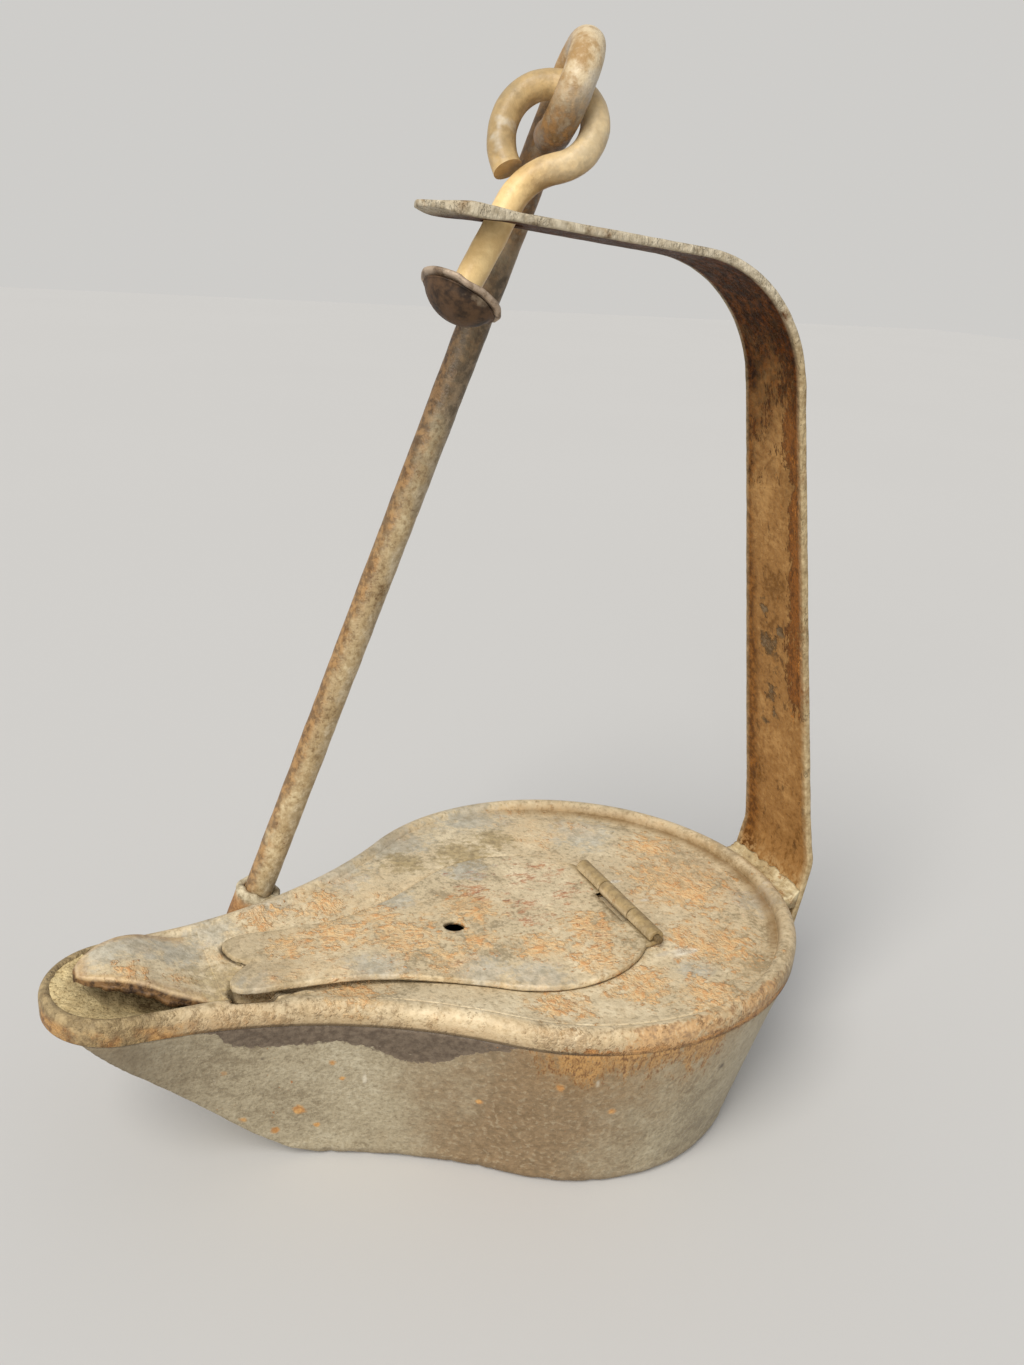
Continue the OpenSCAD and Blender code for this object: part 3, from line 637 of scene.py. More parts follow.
# Paint and rust of the deck's sheet, shared by the hood and the lid that are cut from the same stock
def stained_sheet(place, seed, orange, grey, streak):
    paint = old_paint(place, 260.0, 0.55, (232, 215, 180), (209, 190, 154), (156, 139, 108), seed)
    fine = grain(place, 700, 4, 0.65, seed)
    color = over(times(spots_at(place, grey, 0.9), 0.7), paint["Color"],
                 two_tone(fine, 0.35, 0.65, (156, 150, 132), (204, 200, 184)))
    wide = window(grain(place, 75, 5, 0.62, seed + 2), 0.43, 0.70, 0.0, 0.42)
    zone = sums("MAXIMUM", wide, times(spots_at(place, orange, 0.9), 0.60))
    color = over(times(zone, window(fine, 0.35, 0.65, 0.35, 1.0)), color, srgb(232, 194, 140))
    drawn = stretched(place, streak)
    bloom = rust(drawn, 210.0, zone, (0.44, 0.60), seed, (240, 200, 142), (216, 156, 96))
    color = rust_over(color, bloom, 0.85)
    fleck = rust(drawn, 480.0, times(zone, 0.35), (0.465, 0.52), seed + 5, (198, 138, 80), (142, 94, 54))
    color = rust_over(color, fleck, 0.6)
    return color, plus(paint["Height"], times(bloom["Height"], 1.1)), paint["Height"]


def sheet_done(shader, color, height, skin):
    coat_done(shader, color, height, window(skin, 0.35, 0.65, 0.42, 0.66), 0.0005, 0.75)


def neck_crust(place, fine, color):
    crust = spots_at(place, [(-37.5, -4, 33, 6), (-38.5, -8.5, 33, 3)], 1.0)
    return over(times(crust, 0.5), color, two_tone(fine, 0.4, 0.6, (124, 102, 64), (192, 170, 120)))


def worn_roll(place, fine, color):
    return over(times(marked(place, "roll"), 0.85), color,
                two_tone(fine, 0.25, 0.75, (118, 96, 60), (172, 146, 98)))


coat, shader, place = finish_coat("deck_stained_paint")
color, height, skin = stained_sheet(place, 3.0,
                                    [(22.7, -26.5, 32, 8), (39.9, -19.9, 32, 11), (45.8, -1, 32, 13),
                                     (48, 13, 32, 8), (-17.4, 11.4, 32.5, 7), (-27, 11, 32.5, 5),
                                     (8, -27, 33, 7), (31, -33, 33, 8), (-20, -14, 33, 6), (-36, 2, 33, 3)],
                                    [(-12, 21, 33, 8), (-26, 14, 33, 6), (2, 28, 33, 9), (20, 34, 33, 8),
                                     (38, 22, 32, 8), (56, -10, 33, 6), (-36, 9, 33, 5), (33, -26, 32, 5)],
                                    (1.0, 0.6, 1.0))
xyz = coords(place)
fine = grain(place, 800, 4, 0.62, 3.0)
color = over(times(spots_at(place, [(11.7, 20.2, 32.5, 7), (1, 21, 32.5, 5), (20, 24, 32.5, 5)], 0.8), 0.75),
             color, two_tone(fine, 0.4, 0.6, (132, 112, 72), (178, 156, 110)))
flake = spots_at(place,
                 [(33.5, -20.6, 32.3, 1.5), (30.5, -20.0, 32.3, 0.9), (34.5, 3.0, 32.2, 0.7),
                  (36.5, -4.0, 32.2, 0.6)], 0.5, (0.45, 1.0, 1.0))
color = over(times(flake, 0.9), color, two_tone(fine, 0.35, 0.65, (206, 192, 166), (238, 228, 206)))
crown = marked(place, "crown")
worn = times(crown, window(grain(place, 170, 5, 0.65, 6.0), 0.50, 0.60))
rounded = marked(place, "rounded")
color = over(times(rounded, window(grain(place, 110, 5, 0.65, 2.0), 0.36, 0.60, 0.15, 0.6)), color,
             two_tone(fine, 0.32, 0.68, (160, 132, 92), (204, 176, 134)))
brown = rust(place, 190.0, times(rounded, window(grain(place, 60, 4, 0.6, 12.0), 0.36, 0.6, 0.1, 0.55)),
             (0.46, 0.58), 14.0, (180, 140, 90), (126, 95, 60))
color = rust_over(color, brown, 0.55)
color = over(times(worn, 0.6), color, two_tone(fine, 0.35, 0.6, (148, 128, 96), (200, 182, 148)))
groove = marked(place, "groove")
color = over(times(groove, window(grain(place, 260, 5, 0.6, 8.0), 0.30, 0.62, 0.7, 0.95)), color,
             srgb(134, 104, 62))
line = marked(place, "edge_line")
seam = times(window(xyz["X"], -0.006, 0.012), window(xyz["Y"], -0.006, -0.014),
             window(xyz["X"], 0.056, 0.044))
lumps = rust(place, 320.0, times(seam, line, 0.75), (0.47, 0.57), 9.0, (214, 152, 82), (146, 90, 40))
color = over(times(line, window(fine, 0.4, 0.62, 0.25, 0.6)), color, srgb(128, 104, 72))
color = rust_over(color, lumps, 0.85)
color = over(window(xyz["Z"], 0.0301, 0.0297, 0.0, 0.8), color, srgb(84, 66, 44))
nose = times(rounded, window(xyz["X"], -0.040, -0.052, 0.0, 0.8))
scorch = times(rounded, window(xyz["X"], -0.034, -0.046), window(xyz["Z"], 0.0326, 0.0312),
               window(grain(place, 130, 5, 0.62, 27.0), 0.44, 0.56, 0.1, 0.75))
color = over(nose, color, two_tone(fine, 0.35, 0.65, (112, 94, 62), (166, 144, 102)))
color = over(scorch, color, two_tone(fine, 0.35, 0.65, (128, 84, 40), (190, 142, 82)))
front = times(rounded, window(xyz["X"], 0.0, 0.02), window(xyz["X"], 0.052, 0.040),
              window(xyz["Y"], -0.010, -0.02))
burnt = rust(place, 150.0, times(front, 0.62), (0.46, 0.55), 19.0, (204, 156, 100), (138, 96, 58))
color = rust_over(color, burnt, 0.68)
# Painted shadow with crevice dirt: a dark line on the deck along the edge of the lid's tail.
tail = marked(place, "tail")
color = over(times(tail, 0.85), color, srgb(62, 48, 28))
# Painted shade: the pressed recess under the lid's near lobe is painted dark brown.
pressed = marked(place, "pressed")
color = over(times(pressed, window(fine, 0.35, 0.6, 0.35, 0.75)), color, srgb(128, 104, 68))
color = neck_crust(place, fine, color)
color = worn_roll(place, fine, color)
height = plus(times(lumps["Height"], 1.6), times(brown["Height"], 0.8), height)
sheet_done(shader, color, height, skin)
deck.data.materials.append(coat)
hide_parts("deck")
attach(deck, "lamp")

# Hood over the wick
# A leaf of the same sheet that rises from the deck at the neck and turns over at its tip, so that the
# flame end of the wick lies under it. Grey-beige paint, orange mottling, a brown turned-down lip; the
# lip's outer edge and the leaf's underside are painted dark as painted shade over brown crust.
hood_crest = (-52.3, 36.9)
hood_tip = -57.6
hood_r = 13.0
hood_round = 5.0
hood_half = 9.6
hood_root = -37.0
hood_steps = 56


def hood_height(x):
    join_x = hood_crest[0] + hood_round
    if x < join_x:
        return hood_crest[1] - hood_r + math.sqrt(max(0.0, hood_r ** 2 - (x - hood_crest[0]) ** 2))
    drop = math.sqrt(hood_r ** 2 - hood_round ** 2)
    join = hood_crest[1] - hood_r + drop
    t = (x - join_x) / (spout_x - join_x)
    slope = -hood_round / drop * (spout_x - join_x)
    end = deck_z + 0.8
    if t > 1:
        return end - 0.35 * (t - 1) / 0.1
    away = t * t * (3 - 2 * t)
    return lerp(join, end, away) + t * (1 - t) ** 2 * slope + t * t * (1 - t) * 0.5


def hood_part(x):
    return min(1.0, max(0.0, (spout_x - x) / (spout_x - hood_tip)))


def hood_side(v, least=0.0):
    return hood_half * max(least, 1 - v ** 1.7) ** 0.6


across = [math.sin(math.pi / 2 * (j / 20 - 1)) for j in range(41)]
rows = []
for k in range(hood_steps + 1):
    x = lerp(hood_root, hood_tip, 1 - (1 - k / hood_steps) ** 1.7)
    v = hood_part(x)
    half = hood_side(v)
    row = []
    for s in across:
        y = s * half * (1 - 0.04 * ease(0.95, 1.0, abs(s)))
        lip = ease(0.90, 1.0, abs(s)) * ease(0.02, 0.25, v)
        z = (hood_height(x) - 0.2 * s * s * ease(0, 0.3, v) - lip * (1.25 + 0.5 * rough(x, y, 0, 1.3, 3.0))
             + 0.14 * rough(x, y, 0, 5.0, 7.0) + 0.06 * rough(x, y, 0, 1.8, 2.0))
        row.append((x, y, z))
    rows.append(row)


def grid(rows):
    m = len(rows[0])
    return [[r * m + j, r * m + j + 1, (r + 1) * m + j + 1, (r + 1) * m + j]
            for r in range(len(rows) - 1) for j in range(m - 1)]


hood = sheet_metal("spout_hood_leaf", rows, grid(rows), recalc=False)
thicken(hood, sheet_t)


def hood_edge(x, y, z):
    v = hood_part(x)
    return max(abs(y) / hood_side(v, 0.001), v ** 3) * ease(0.02, 0.15, v)


mark(hood, "out", hood_edge)
mark(hood, "under", lambda x, y, z: ease(-0.45, -0.7, z - hood_height(x)) * ease(-38.5, -41, x))
coat, shader, place = finish_coat("hood_mottled_paint")
color, height, skin = stained_sheet(place, 3.0, [(-36, 2, 33, 3), (-50, -4, 36, 4), (-43, -4, 34, 3)],
                                    [(-48, 4, 36, 6), (-42, 3, 34, 5), (-53, 3, 36.5, 6), (-36, 9, 33, 5),
                                     (-46, 8, 35, 5)], (1.0, 0.6, 1.0))
fine = grain(place, 800, 4, 0.62, 3.0)
color = neck_crust(place, fine, color)
rim = marked(place, "out")
color = over(window(rim, 0.62, 0.86, 0.0, 0.55), color,
             two_tone(fine, 0.4, 0.6, (156, 112, 66), (206, 170, 116)))
color = over(times(window(rim, 0.86, 0.90), window(rim, 0.95, 0.91), 0.35), color, srgb(206, 184, 150))
# Painted shade: the outermost edge of the turned-down lip and the underside of the leaf are painted dark
# brown, over a brown crust on the lip.
dark = sums("MAXIMUM", window(rim, 0.925, 0.97), marked(place, "under"))
color = over(dark, color, two_tone(fine, 0.38, 0.62, (58, 40, 24), (126, 94, 58)))
sheet_done(shader, color, height, skin)
hood.data.materials.append(coat)
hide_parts("spout_hood")
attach(hood, "lamp")

# Wick trough
# A half-round channel of sheet soldered under the spout, which leads the wick up out of the grease.
# Its inside is lined with a pale crust of dried grease near the nose; further in, under the hood, it is
# painted near black, painted shade over dark iron.
trough_from, trough_to, trough_steps = -60.9, -31.6, 59
trough_t = 0.6
trough_fall = math.tan(math.radians(14))
rows = []
for k in range(trough_steps + 1):
    x = lerp(trough_from, trough_to, k / trough_steps)
    room = rim_nose_r - lerp(2.75, 1.5, ease(-38, -47, x))
    if x < rim_nose:
        half = math.sqrt(max(0.3, room ** 2 - (x - rim_nose) ** 2))
    else:
        half = min(room, 9.7)
    half *= lerp(1.0, 0.88, ease(-44, -36, x))
    deep = max(lerp(33.0, 28.4 - (x + 44) * trough_fall * ease(-44, -36, x), ease(-61.0, -45, x)),
               keel(x) + 1.6)
    rim = lerp(33.0, 30.2, ease(-49, -40, x))
    row = []
    for s in across:
        z = (lerp(deep, rim, abs(s) ** 2.2) + 0.28 * rough(x, s * half, 0, 1.8, 5.0)
             + 0.2 * rough(x, s * half, 0, 0.8, 1.0))
        row.append((x, s * half, min(z, 33.05)))
    rows.append(row)
trough = sheet_metal("wick_trough_channel", rows, grid(rows), recalc=False)
thicken(trough, trough_t)


def paint_done(shader, color, paint, dull, depth, strength):
    coat_done(shader, color, paint["Height"], window(paint["Height"], 0.3, 0.7, *dull), depth, strength)


coat, shader, place = finish_coat("trough_crust", 0.0, 0.2)
paint = old_paint(place, 420.0, 0.6, (234, 212, 160), (206, 182, 132), (120, 94, 56), 12.0)
xyz = coords(place)
# Painted shade: from under the hood inward the crust gives way to near black, painted shade over dark iron.
ragged = plus(xyz["X"], times(drift(place, 400, 5, 0.65, 3.0), 0.012))
color = over(window(ragged, -0.050, -0.040, 0.0, 0.9), paint["Color"], srgb(52, 38, 22))
paint_done(shader, color, paint, (0.6, 0.85), 0.0006, 0.8)
trough.data.materials.append(coat)
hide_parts("wick_trough")
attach(trough, "lamp")

# Lid
# A fish-tailed leaf of sheet that lies in the deck's rabbet, its straight end rolled into two hinge
# knuckles. Grey paint with large flaking patches of orange rust; one round hole near its middle.
lid_z = 32.0
bore_at = (1.0, fit_y + 0.4, 1.8)
lid_roll = (12.4, 13.0)
outline = [fish_tail(p) for p in pear_outline(lid_pear, 0)]
outline = [(min(p[0], hinge[0] - 0.2), p[1]) for p in outline]


def lid_lift(x, y):
    loose = ease(-2, -26, x) * ease(-2, -9, y) * 0.75
    return (loose + 0.3 * ease(-25, -31, x) + 0.10 * rough(x, y, 0, 10.0, 5.5)
            + 0.05 * rough(x, y, 0, 3.0, 2.5))


def lid_row(part, z, inset=0.0):
    row = []
    for p in outline:
        hub = (spine(p[0]), fit_y)
        d = math.dist(p, hub) or 1.0
        t = part * (1 - inset / d)
        x, y = lerp(hub[0], p[0], t), lerp(hub[1], p[1], t)
        row.append((x, y, z + lid_lift(x, y) + 0.30 * (1 - part ** 2) * ease(28, 10, x)))
    return row


parts = [1.0, 0.985, 0.95, 0.9, 0.8, 0.68, 0.55, 0.42, 0.3, 0.18, 0.08]
rows = [lid_row(t, lid_z) for t in reversed(parts)]
rows += [lid_row(1.0, lid_z + 0.2), lid_row(1.0, lid_z + 0.6), lid_row(1.0, lid_z + 0.82, 0.10)]
rows += [lid_row(t, lid_z + sheet_t, 0.25) for t in parts]
n = len(outline)
faces = loft(rows) + pear_cap(0, n) + pear_cap((len(rows) - 1) * n, n)
leaf = sheet_metal("lid_leaf", rows, faces)


def bar_faces(rings):
    m = len(rings[0])
    return loft(rings) + [list(range(m)), list(range((len(rings) - 1) * m, len(rings) * m))]


def cut_out(obj, name, rings):
    knife = sheet_metal(name, rings, bar_faces(rings))
    cut = obj.modifiers.new(name, "BOOLEAN")
    cut.operation, cut.object, cut.solver = "DIFFERENCE", knife, "EXACT"
    finished(obj)
    bpy.data.objects.remove(knife)


slot_half = knuckle_half + knuckle_play
bore = arc_points(*bore_at, 0, 2 * math.pi, 32)[:-1]
slot = [(hinge[0] + x, hinge[1] + y)
        for x, y in ((-2, -slot_half), (3, -slot_half), (3, slot_half), (-2, slot_half))]
for name, plan in (("lid_bore", bore), ("lid_slot", slot)):
    cut_out(leaf, name, [[(x, y, z) for x, y in plan] for z in (lid_z - 2, lid_z + 4)])
knuckles = [leaf]
for y0, y1 in ((hinge[1] - lid_roll[0], hinge[1] - slot_half),
               (hinge[1] + slot_half, hinge[1] + lid_roll[1])):
    lead = [(27.6, 32.45), (29.2, 32.5), (29.9, 32.6)]
    knuckles.append(rolled("lid_knuckle", roll_path(lead, -90, 200), y0, y1))
lid = one_piece("lid_fish_tail", knuckles)


def lid_rim(x, y, z):
    return ease(1.6, 0.2, min(math.dist(p, (x, y)) for p in outline[::3]))


mark(lid, "edge", lid_rim)
mark(lid, "roll", lambda x, y, z: ease(28.6, 29.8, x))
coat, shader, place = finish_coat("lid_flaking_paint")
color, height, skin = stained_sheet(place, 6.0,
                                    [(-17, 1.5, 33, 8), (-8, -3, 33, 9), (-3.4, -11.5, 33, 5), (6, 2, 33, 7),
                                     (19.3, -18.9, 33, 7), (22, -10, 33, 7), (-26, 0, 33, 5),
                                     (12, -13, 33, 6), (-10, 5, 33, 5), (3, -8, 33, 5)],
                                    [(-15, -10, 33, 6), (0, -16, 33, 6), (8, -20, 33, 6), (-6, 9, 33, 5),
                                     (10, 14, 33, 5), (-33, -9, 33, 4)], (0.5, 0.8, 1.0))
fine = grain(place, 800, 4, 0.62, 3.0)
reddish = spots_at(place, [(20.7, 9, 33, 9), (10, 8, 33, 9), (15, -2, 33, 8), (24, 1, 33, 6),
                           (22, -12, 33, 5)], 0.9)
red = rust(stretched(place, (0.35, 1.0, 1.0)), 480.0, times(reddish, 0.45), (0.48, 0.55), 16.0,
           (204, 128, 76), (146, 76, 42))
color = rust_over(color, red, 0.7)
east = coords(place)["X"]
color = over(times(window(east, -0.022, -0.034), window(fine, 0.3, 0.7, 0.15, 0.55)), color,
             srgb(160, 142, 112))
edge = marked(place, "edge")
color = over(times(edge, window(grain(place, 260, 5, 0.6, 3.0), 0.42, 0.62, 0.0, 0.45)), color,
             srgb(150, 130, 92))
color = worn_roll(place, fine, color)
sheet_done(shader, color, height, skin)
lid.data.materials.append(coat)
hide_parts("lid")
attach(lid, "lid")

# Hinge wire
# A length of dark iron wire through the three rolled knuckles; its cut ends stand just proud of them.
# It is drawn along its path as every wire of the lamp is, with small hammer dents.
pin_half, pin_r = 13.5, 0.62
drawn_wire, given, gives = effect("Drawn wire",
                                  [("Geometry", "Geometry", None), ("Radius", "Float", 0.001),
                                   ("Sides", "Int", 24), ("Dent", "Float", 0.0001),
                                   ("Dent size", "Float", 0.004), ("Seed", "Float", 0.0),
                                   ("Finish", "Material", None)], [("Geometry", "Geometry")], "Geometry")
profile = tool("GeometryNodeCurvePrimitiveCircle", {"Resolution": given["Sides"], "Radius": given["Radius"]})
bar = tool("GeometryNodeCurveToMesh",
           {"Curve": given["Geometry"], "Profile Curve": profile.outputs["Curve"],
            "Scale": drawn_wire.nodes.new("GeometryNodeInputRadius").outputs[0], "Fill Caps": True})
spread = sums("DIVIDE", 1.0, given["Dent size"])
lumps = tool("ShaderNodeTexNoise", {"W": given["Seed"], "Scale": spread, "Detail": 3.0},
             noise_dimensions="4D")
inward = times(minus(lumps.outputs["Fac"], 0.85), given["Dent"])
push = tool("ShaderNodeVectorMath", {0: drawn_wire.nodes.new("GeometryNodeInputNormal").outputs[0]},
            operation="SCALE")
drawn_wire.links.new(inward, push.inputs["Scale"])
dented = tool("GeometryNodeSetPosition", {"Geometry": bar.outputs[0], "Offset": push.outputs[0]})
smooth = tool("GeometryNodeSetShadeSmooth", {"Geometry": dented.outputs[0]})
real = tool("GeometryNodeRealizeInstances", {"Geometry": smooth.outputs[0]})
coated = tool("GeometryNodeSetMaterial", {"Geometry": real.outputs[0], "Material": given["Finish"]})
drawn_wire.links.new(coated.outputs[0], gives[0])


def wire(name, path, radius, finish, dent, dent_size, seed, sides=28, taper=None):
    curve = bpy.data.curves.new(name, "CURVE")
    curve.dimensions = "3D"
    spline = curve.splines.new("POLY")
    spline.points.add(len(path) - 1)
    for k, (point, p) in enumerate(zip(spline.points, path)):
        point.co = (*(c * mm for c in p), 1)
        point.radius = taper[k] if taper else 1.0
    obj = put(name, curve)
    draw = obj.modifiers.new("drawn", "NODES")
    draw.node_group = drawn_wire
    values = {"Radius": radius * mm, "Sides": sides, "Dent": dent * mm, "Dent size": dent_size * mm,
              "Seed": seed, "Finish": finish}
    for item in drawn_wire.interface.items_tree:
        if item.in_out == "INPUT" and item.name in values:
            draw[item.identifier] = values[item.name]
    mesh = evaluated(obj)
    bpy.data.objects.remove(obj)
    return put(name, mesh)


def fill_in(points, step):
    path = [points[0]]
    for a, b in zip(points, points[1:]):
        count = max(1, int(math.dist(a, b) / step))
        path += [tuple(lerp(u, v, k / count) for u, v in zip(a, b)) for k in range(1, count + 1)]
    return path


coat, shader, place = finish_coat("hinge_wire_iron", 0.35, 0.4)
paint = old_paint(place, 500.0, 0.5, (168, 148, 112), (130, 110, 78), (80, 64, 42), 2.0)
paint_done(shader, paint["Color"], paint, (0.42, 0.65), 0.0002, 0.5)
pin_ends = [(hinge[0], hinge[1] + side * pin_half, hinge[2]) for side in (-1, 1)]
pin = wire("hinge_wire", fill_in(pin_ends, 0.6), pin_r, coat, 0.06, 1.5, 1.0)
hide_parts("lid_hinge_pin")
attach(pin, "lamp")

# Handle strap
# A strap of iron bent to an upright and an arm, its wide foot soldered to the back of the rim and its
# arm holed for the loose swivel. Brown rust flakes over the faces, pale metal worn bare along the edges.
# Painted shade blackens the inner face under the arm, and a painted highlight pales the upper edges.
strap_t = 1.25
strap_foot = (62.1589, 24.3)
strap_kink = (65.0, 39.0)
strap_corner = (47.2286, 137.5)
strap_tip = (-9.862, 142.394)
strap_halves = (9.2, 7.25)
strap_corner_r = 0.34
kink_r, bend_r, tip_r = 6.0, 22.0, 6.0
hole_r = 3.09
hole_tilt = math.radians(4.9)


def turned(a, b, c, r, n):
    u, v = Vector(a) - Vector(b), Vector(c) - Vector(b)
    u.normalize()
    v.normalize()
    half = u.angle(v) / 2
    m = Vector(b) + (u + v).normalized() * r / math.sin(half)
    p, q = Vector(b) + u * r / math.tan(half) - m, Vector(b) + v * r / math.tan(half) - m
    turn = math.pi - 2 * half
    return [tuple(m + (p * math.sin(turn * (1 - k / n)) + q * math.sin(turn * k / n)) / math.sin(turn))
            for k in range(n + 1)]


def strap_half(z):
    return lerp(*strap_halves, min(1.0, max(0.0, (z - 40.0) / 75.5))) + 0.8 * ease(48, 34, z)


way = ([strap_foot] + turned(strap_foot, strap_kink, strap_corner, kink_r, 8)
       + turned(strap_kink, strap_corner, strap_tip, bend_r, 26) + [strap_tip])
way = fill_in(way, 1.1)
rings = []
for k, p in enumerate(way):
    nx, nz = normal_at(way, k)
    half = strap_half(p[1])
    if k > len(way) / 2:
        left = math.dist(p, strap_tip)
        if left < tip_r:
            half -= tip_r - math.sqrt(max(0.0, tip_r ** 2 - (tip_r - left) ** 2))
    half -= 0.14 * uneven(p[0], 0, p[1], 4.0, 3.0) + 0.12 * lumpy(p[0], 5, p[1], 1.6, 4.0)
    gauge = lerp(lerp(strap_t, 1.9, ease(1.5, -4.5, p[0])), 0.8, ease(-5.0, -9.8, p[0]))
    flat, inward = gauge / 2 - strap_corner_r, half - strap_corner_r
    edge = [(inward * (j / 8 - 1), gauge / 2) for j in range(17)]
    for level, turns in ((flat, (30, 60, 90)), (-flat, (90, 120, 150))):
        edge += [(inward + strap_corner_r * math.sin(math.radians(f)),
                  level + strap_corner_r * math.cos(math.radians(f))) for f in turns]
    ring = []
    for y, t in edge + [(-y, -t) for y, t in edge]:
        pit = 0.10 * lumpy(p[0] + t, y, p[1], 3.2, 2.0) + 0.05 * lumpy(p[0], y, p[1] + t, 1.2, 5.0)
        t -= math.copysign(min(abs(t), pit), t)
        ring.append((p[0] + nx * t, y + fit_y, p[1] + nz * t))
    rings.append(ring)
strap = sheet_metal("handle_strap_iron", rings, bar_faces(rings))
hole = Vector((2.29345, -2.2, 141.352))
up = Vector((math.sin(hole_tilt), 0, math.cos(hole_tilt)))
side_y = Vector((0, 1, 0))
ahead = side_y.cross(up)
cut_out(strap, "swivel_bore",
        [[tuple(hole + up * h + ahead * c + side_y * d)
          for c, d in arc_points(0, 0, hole_r, 0, 2 * math.pi, 48)[:-1]] for h in (-4, 4)])


def strap_rim(x, y, z):
    return max(ease(0.75, 0.2, strap_half(z) - abs(y - fit_y)), ease(-4.5, -8.5, x))


def strap_inner(x, y, z):
    k = min(range(len(way)), key=lambda i: math.dist(way[i], (x, z)))
    a, b = beside(way, k)
    return ease(-0.05, 0.05, (z - way[k][1]) * (b[0] - a[0]) - (x - way[k][0]) * (b[1] - a[1]))


mark(strap, "edge", strap_rim)
mark(strap, "inner", strap_inner)
coat, shader, place = finish_coat("strap_brown_rust", 0.0, 0.05)
paint = old_paint(place, 190.0, 0.3, (172, 132, 82), (148, 108, 62), (112, 76, 36), 21.0)
xyz = coords(place)
fine = grain(place, 800, 4, 0.64, 3.0)
stray = drift(place, 120, 5, 0.65, 5.0)
y_stray = plus(xyz["Y"], times(stray, 0.008))
z_stray = plus(xyz["Z"], times(stray, 0.05))
color = over(window(y_stray, 0.0005, 0.0035, 0.0, 0.85), paint["Color"],
             two_tone(fine, 0.4, 0.62, (84, 50, 18), (138, 90, 40)))
rusted = sums("MAXIMUM", times(window(y_stray, -0.0045, -0.0085), window(z_stray, 0.045, 0.075)),
              times(window(z_stray, 0.070, 0.150), 0.8))
drawn = stretched(place, (1.0, 1.0, 0.4))
bloom = rust(drawn, 300.0, times(rusted, 0.72), (0.49, 0.54), 22.0, (134, 82, 36), (88, 52, 24))
color = rust_over(color, bloom, 0.85)
spark = rust(drawn, 380.0, times(rusted, 0.22), (0.455, 0.49), 24.0, (208, 146, 72), (168, 104, 44))
color = rust_over(color, spark, 0.8)
flakes = spots_at(place,
                  [(58, -1.5, 77, 2.6), (58, -2, 68, 2.2), (57, -4, 72, 1.6), (59, -1, 62, 1.8),
                   (60, -3, 88, 1.4), (56, 0, 83, 1.5), (57, -5, 80, 1.2), (59, -3.5, 64.5, 1.3),
                   (58, -5, 58, 1.2)], 1.1)
color = over(times(flakes, 0.85), color, two_tone(fine, 0.4, 0.6, (82, 66, 46), (120, 102, 78)))
inner = marked(place, "inner")
pits = window(grain(drawn, 420, 5, 0.68, 26.0), 0.58, 0.66, 0.0, 0.7)
color = over(times(pits, inner), color, srgb(78, 52, 28))
# Painted shade: the inner face is painted near black just below the arm, where the arm shades it, over its
# dark rust.
dark = times(window(z_stray, 0.100, 0.130), inner)
outer = times(minus(1.0, inner), window(fine, 0.3, 0.7, 0.25, 0.6))
color = over(outer, color, two_tone(stray, -0.08, 0.08, (150, 126, 92), (186, 166, 130)))
color = over(times(dark, 0.88), color, two_tone(fine, 0.4, 0.66, (34, 12, 0), (98, 50, 4)))
foot = times(window(xyz["Z"], 0.038, 0.034), 0.7)
color = over(times(foot, window(fine, 0.44, 0.6)), color, srgb(186, 152, 104))
edge = marked(place, "edge")
bared = times(edge, window(grain(place, 260, 5, 0.65, 23.0), 0.24, 0.46))
color = over(bared, color, two_tone(fine, 0.25, 0.75, (140, 117, 82), (194, 174, 136)))
# Painted highlight: the bare edges are painted paler still on the upper strap and the arm.
color = over(times(bared, window(xyz["Z"], 0.122, 0.136), 0.75), color,
             two_tone(fine, 0.25, 0.75, (168, 156, 132), (222, 212, 190)))
height = plus(minus(bloom["Height"], times(flakes, 0.8)), paint["Height"], times(fine, 0.4))
coat_done(shader, color, height, window(paint["Height"], 0.35, 0.65, 0.36, 0.62), 0.0006, 0.8)
strap.data.materials.append(coat)
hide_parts("handle_strap")
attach(strap, "lamp")

# Solder at the strap's foot
# A lumpy fillet of dull solder that fills the wedge between the flat foot and the round rim.
# Grey-beige, dirty in its hollows.
solder_y = (-12.9, 6.9)
solder_steps, slope_steps = 60, 13
solder_low, solder_top, solder_edge = 30.5, 34.3, 32.9
foot_x = 62.7
foot_lean = math.tan(math.radians(11))


def foot_face(z):
    return foot_x + (z - solder_low) * foot_lean


rings = []
for k in range(solder_steps + 1):
    y = lerp(*solder_y, k / solder_steps)
    reach = rim_body + math.sqrt(rim_body_r ** 2 - y * y)
    fade = 1 - 0.6 * (abs(y - fit_y) / 10) ** 4
    top = solder_top - 0.9 * (1 - fade) + 0.9 * rough(0, y, 0, 3.4, 2.0) + 0.5 * rough(0, y, 0, 1.2, 7.0)
    start = reach - 1.0 * fade - 0.7 * rough(0, y, 3, 2.5, 4.0)
    loop = [(foot_x, solder_low), (foot_face(top), top)]
    for j in range(1, slope_steps + 1):
        t = j / slope_steps
        x = lerp(foot_face(top), start, t)
        z = (lerp(top, solder_edge, t ** 0.8) - 0.45 * math.sin(math.pi * t) * fade
             + 0.3 * rough(x, y, j, 1.5, 6.0) * math.sin(math.pi * t))
        loop.append((x, z))
    loop += [(start, solder_edge - 0.9), (reach - 0.35, solder_low)]
    rings.append([(x, y, z) for x, z in loop])
solder = sheet_metal("handle_solder_fillet", rings, bar_faces(rings))
coat, shader, place = finish_coat("dull_solder", 0.1, 0.4)
paint = old_paint(place, 190.0, 0.3, (206, 190, 152), (178, 156, 114), (130, 106, 68), 31.0)
bloom = rust(place, 300.0, 0.5, (0.53, 0.58), 32.0, (196, 144, 80), (136, 88, 42))
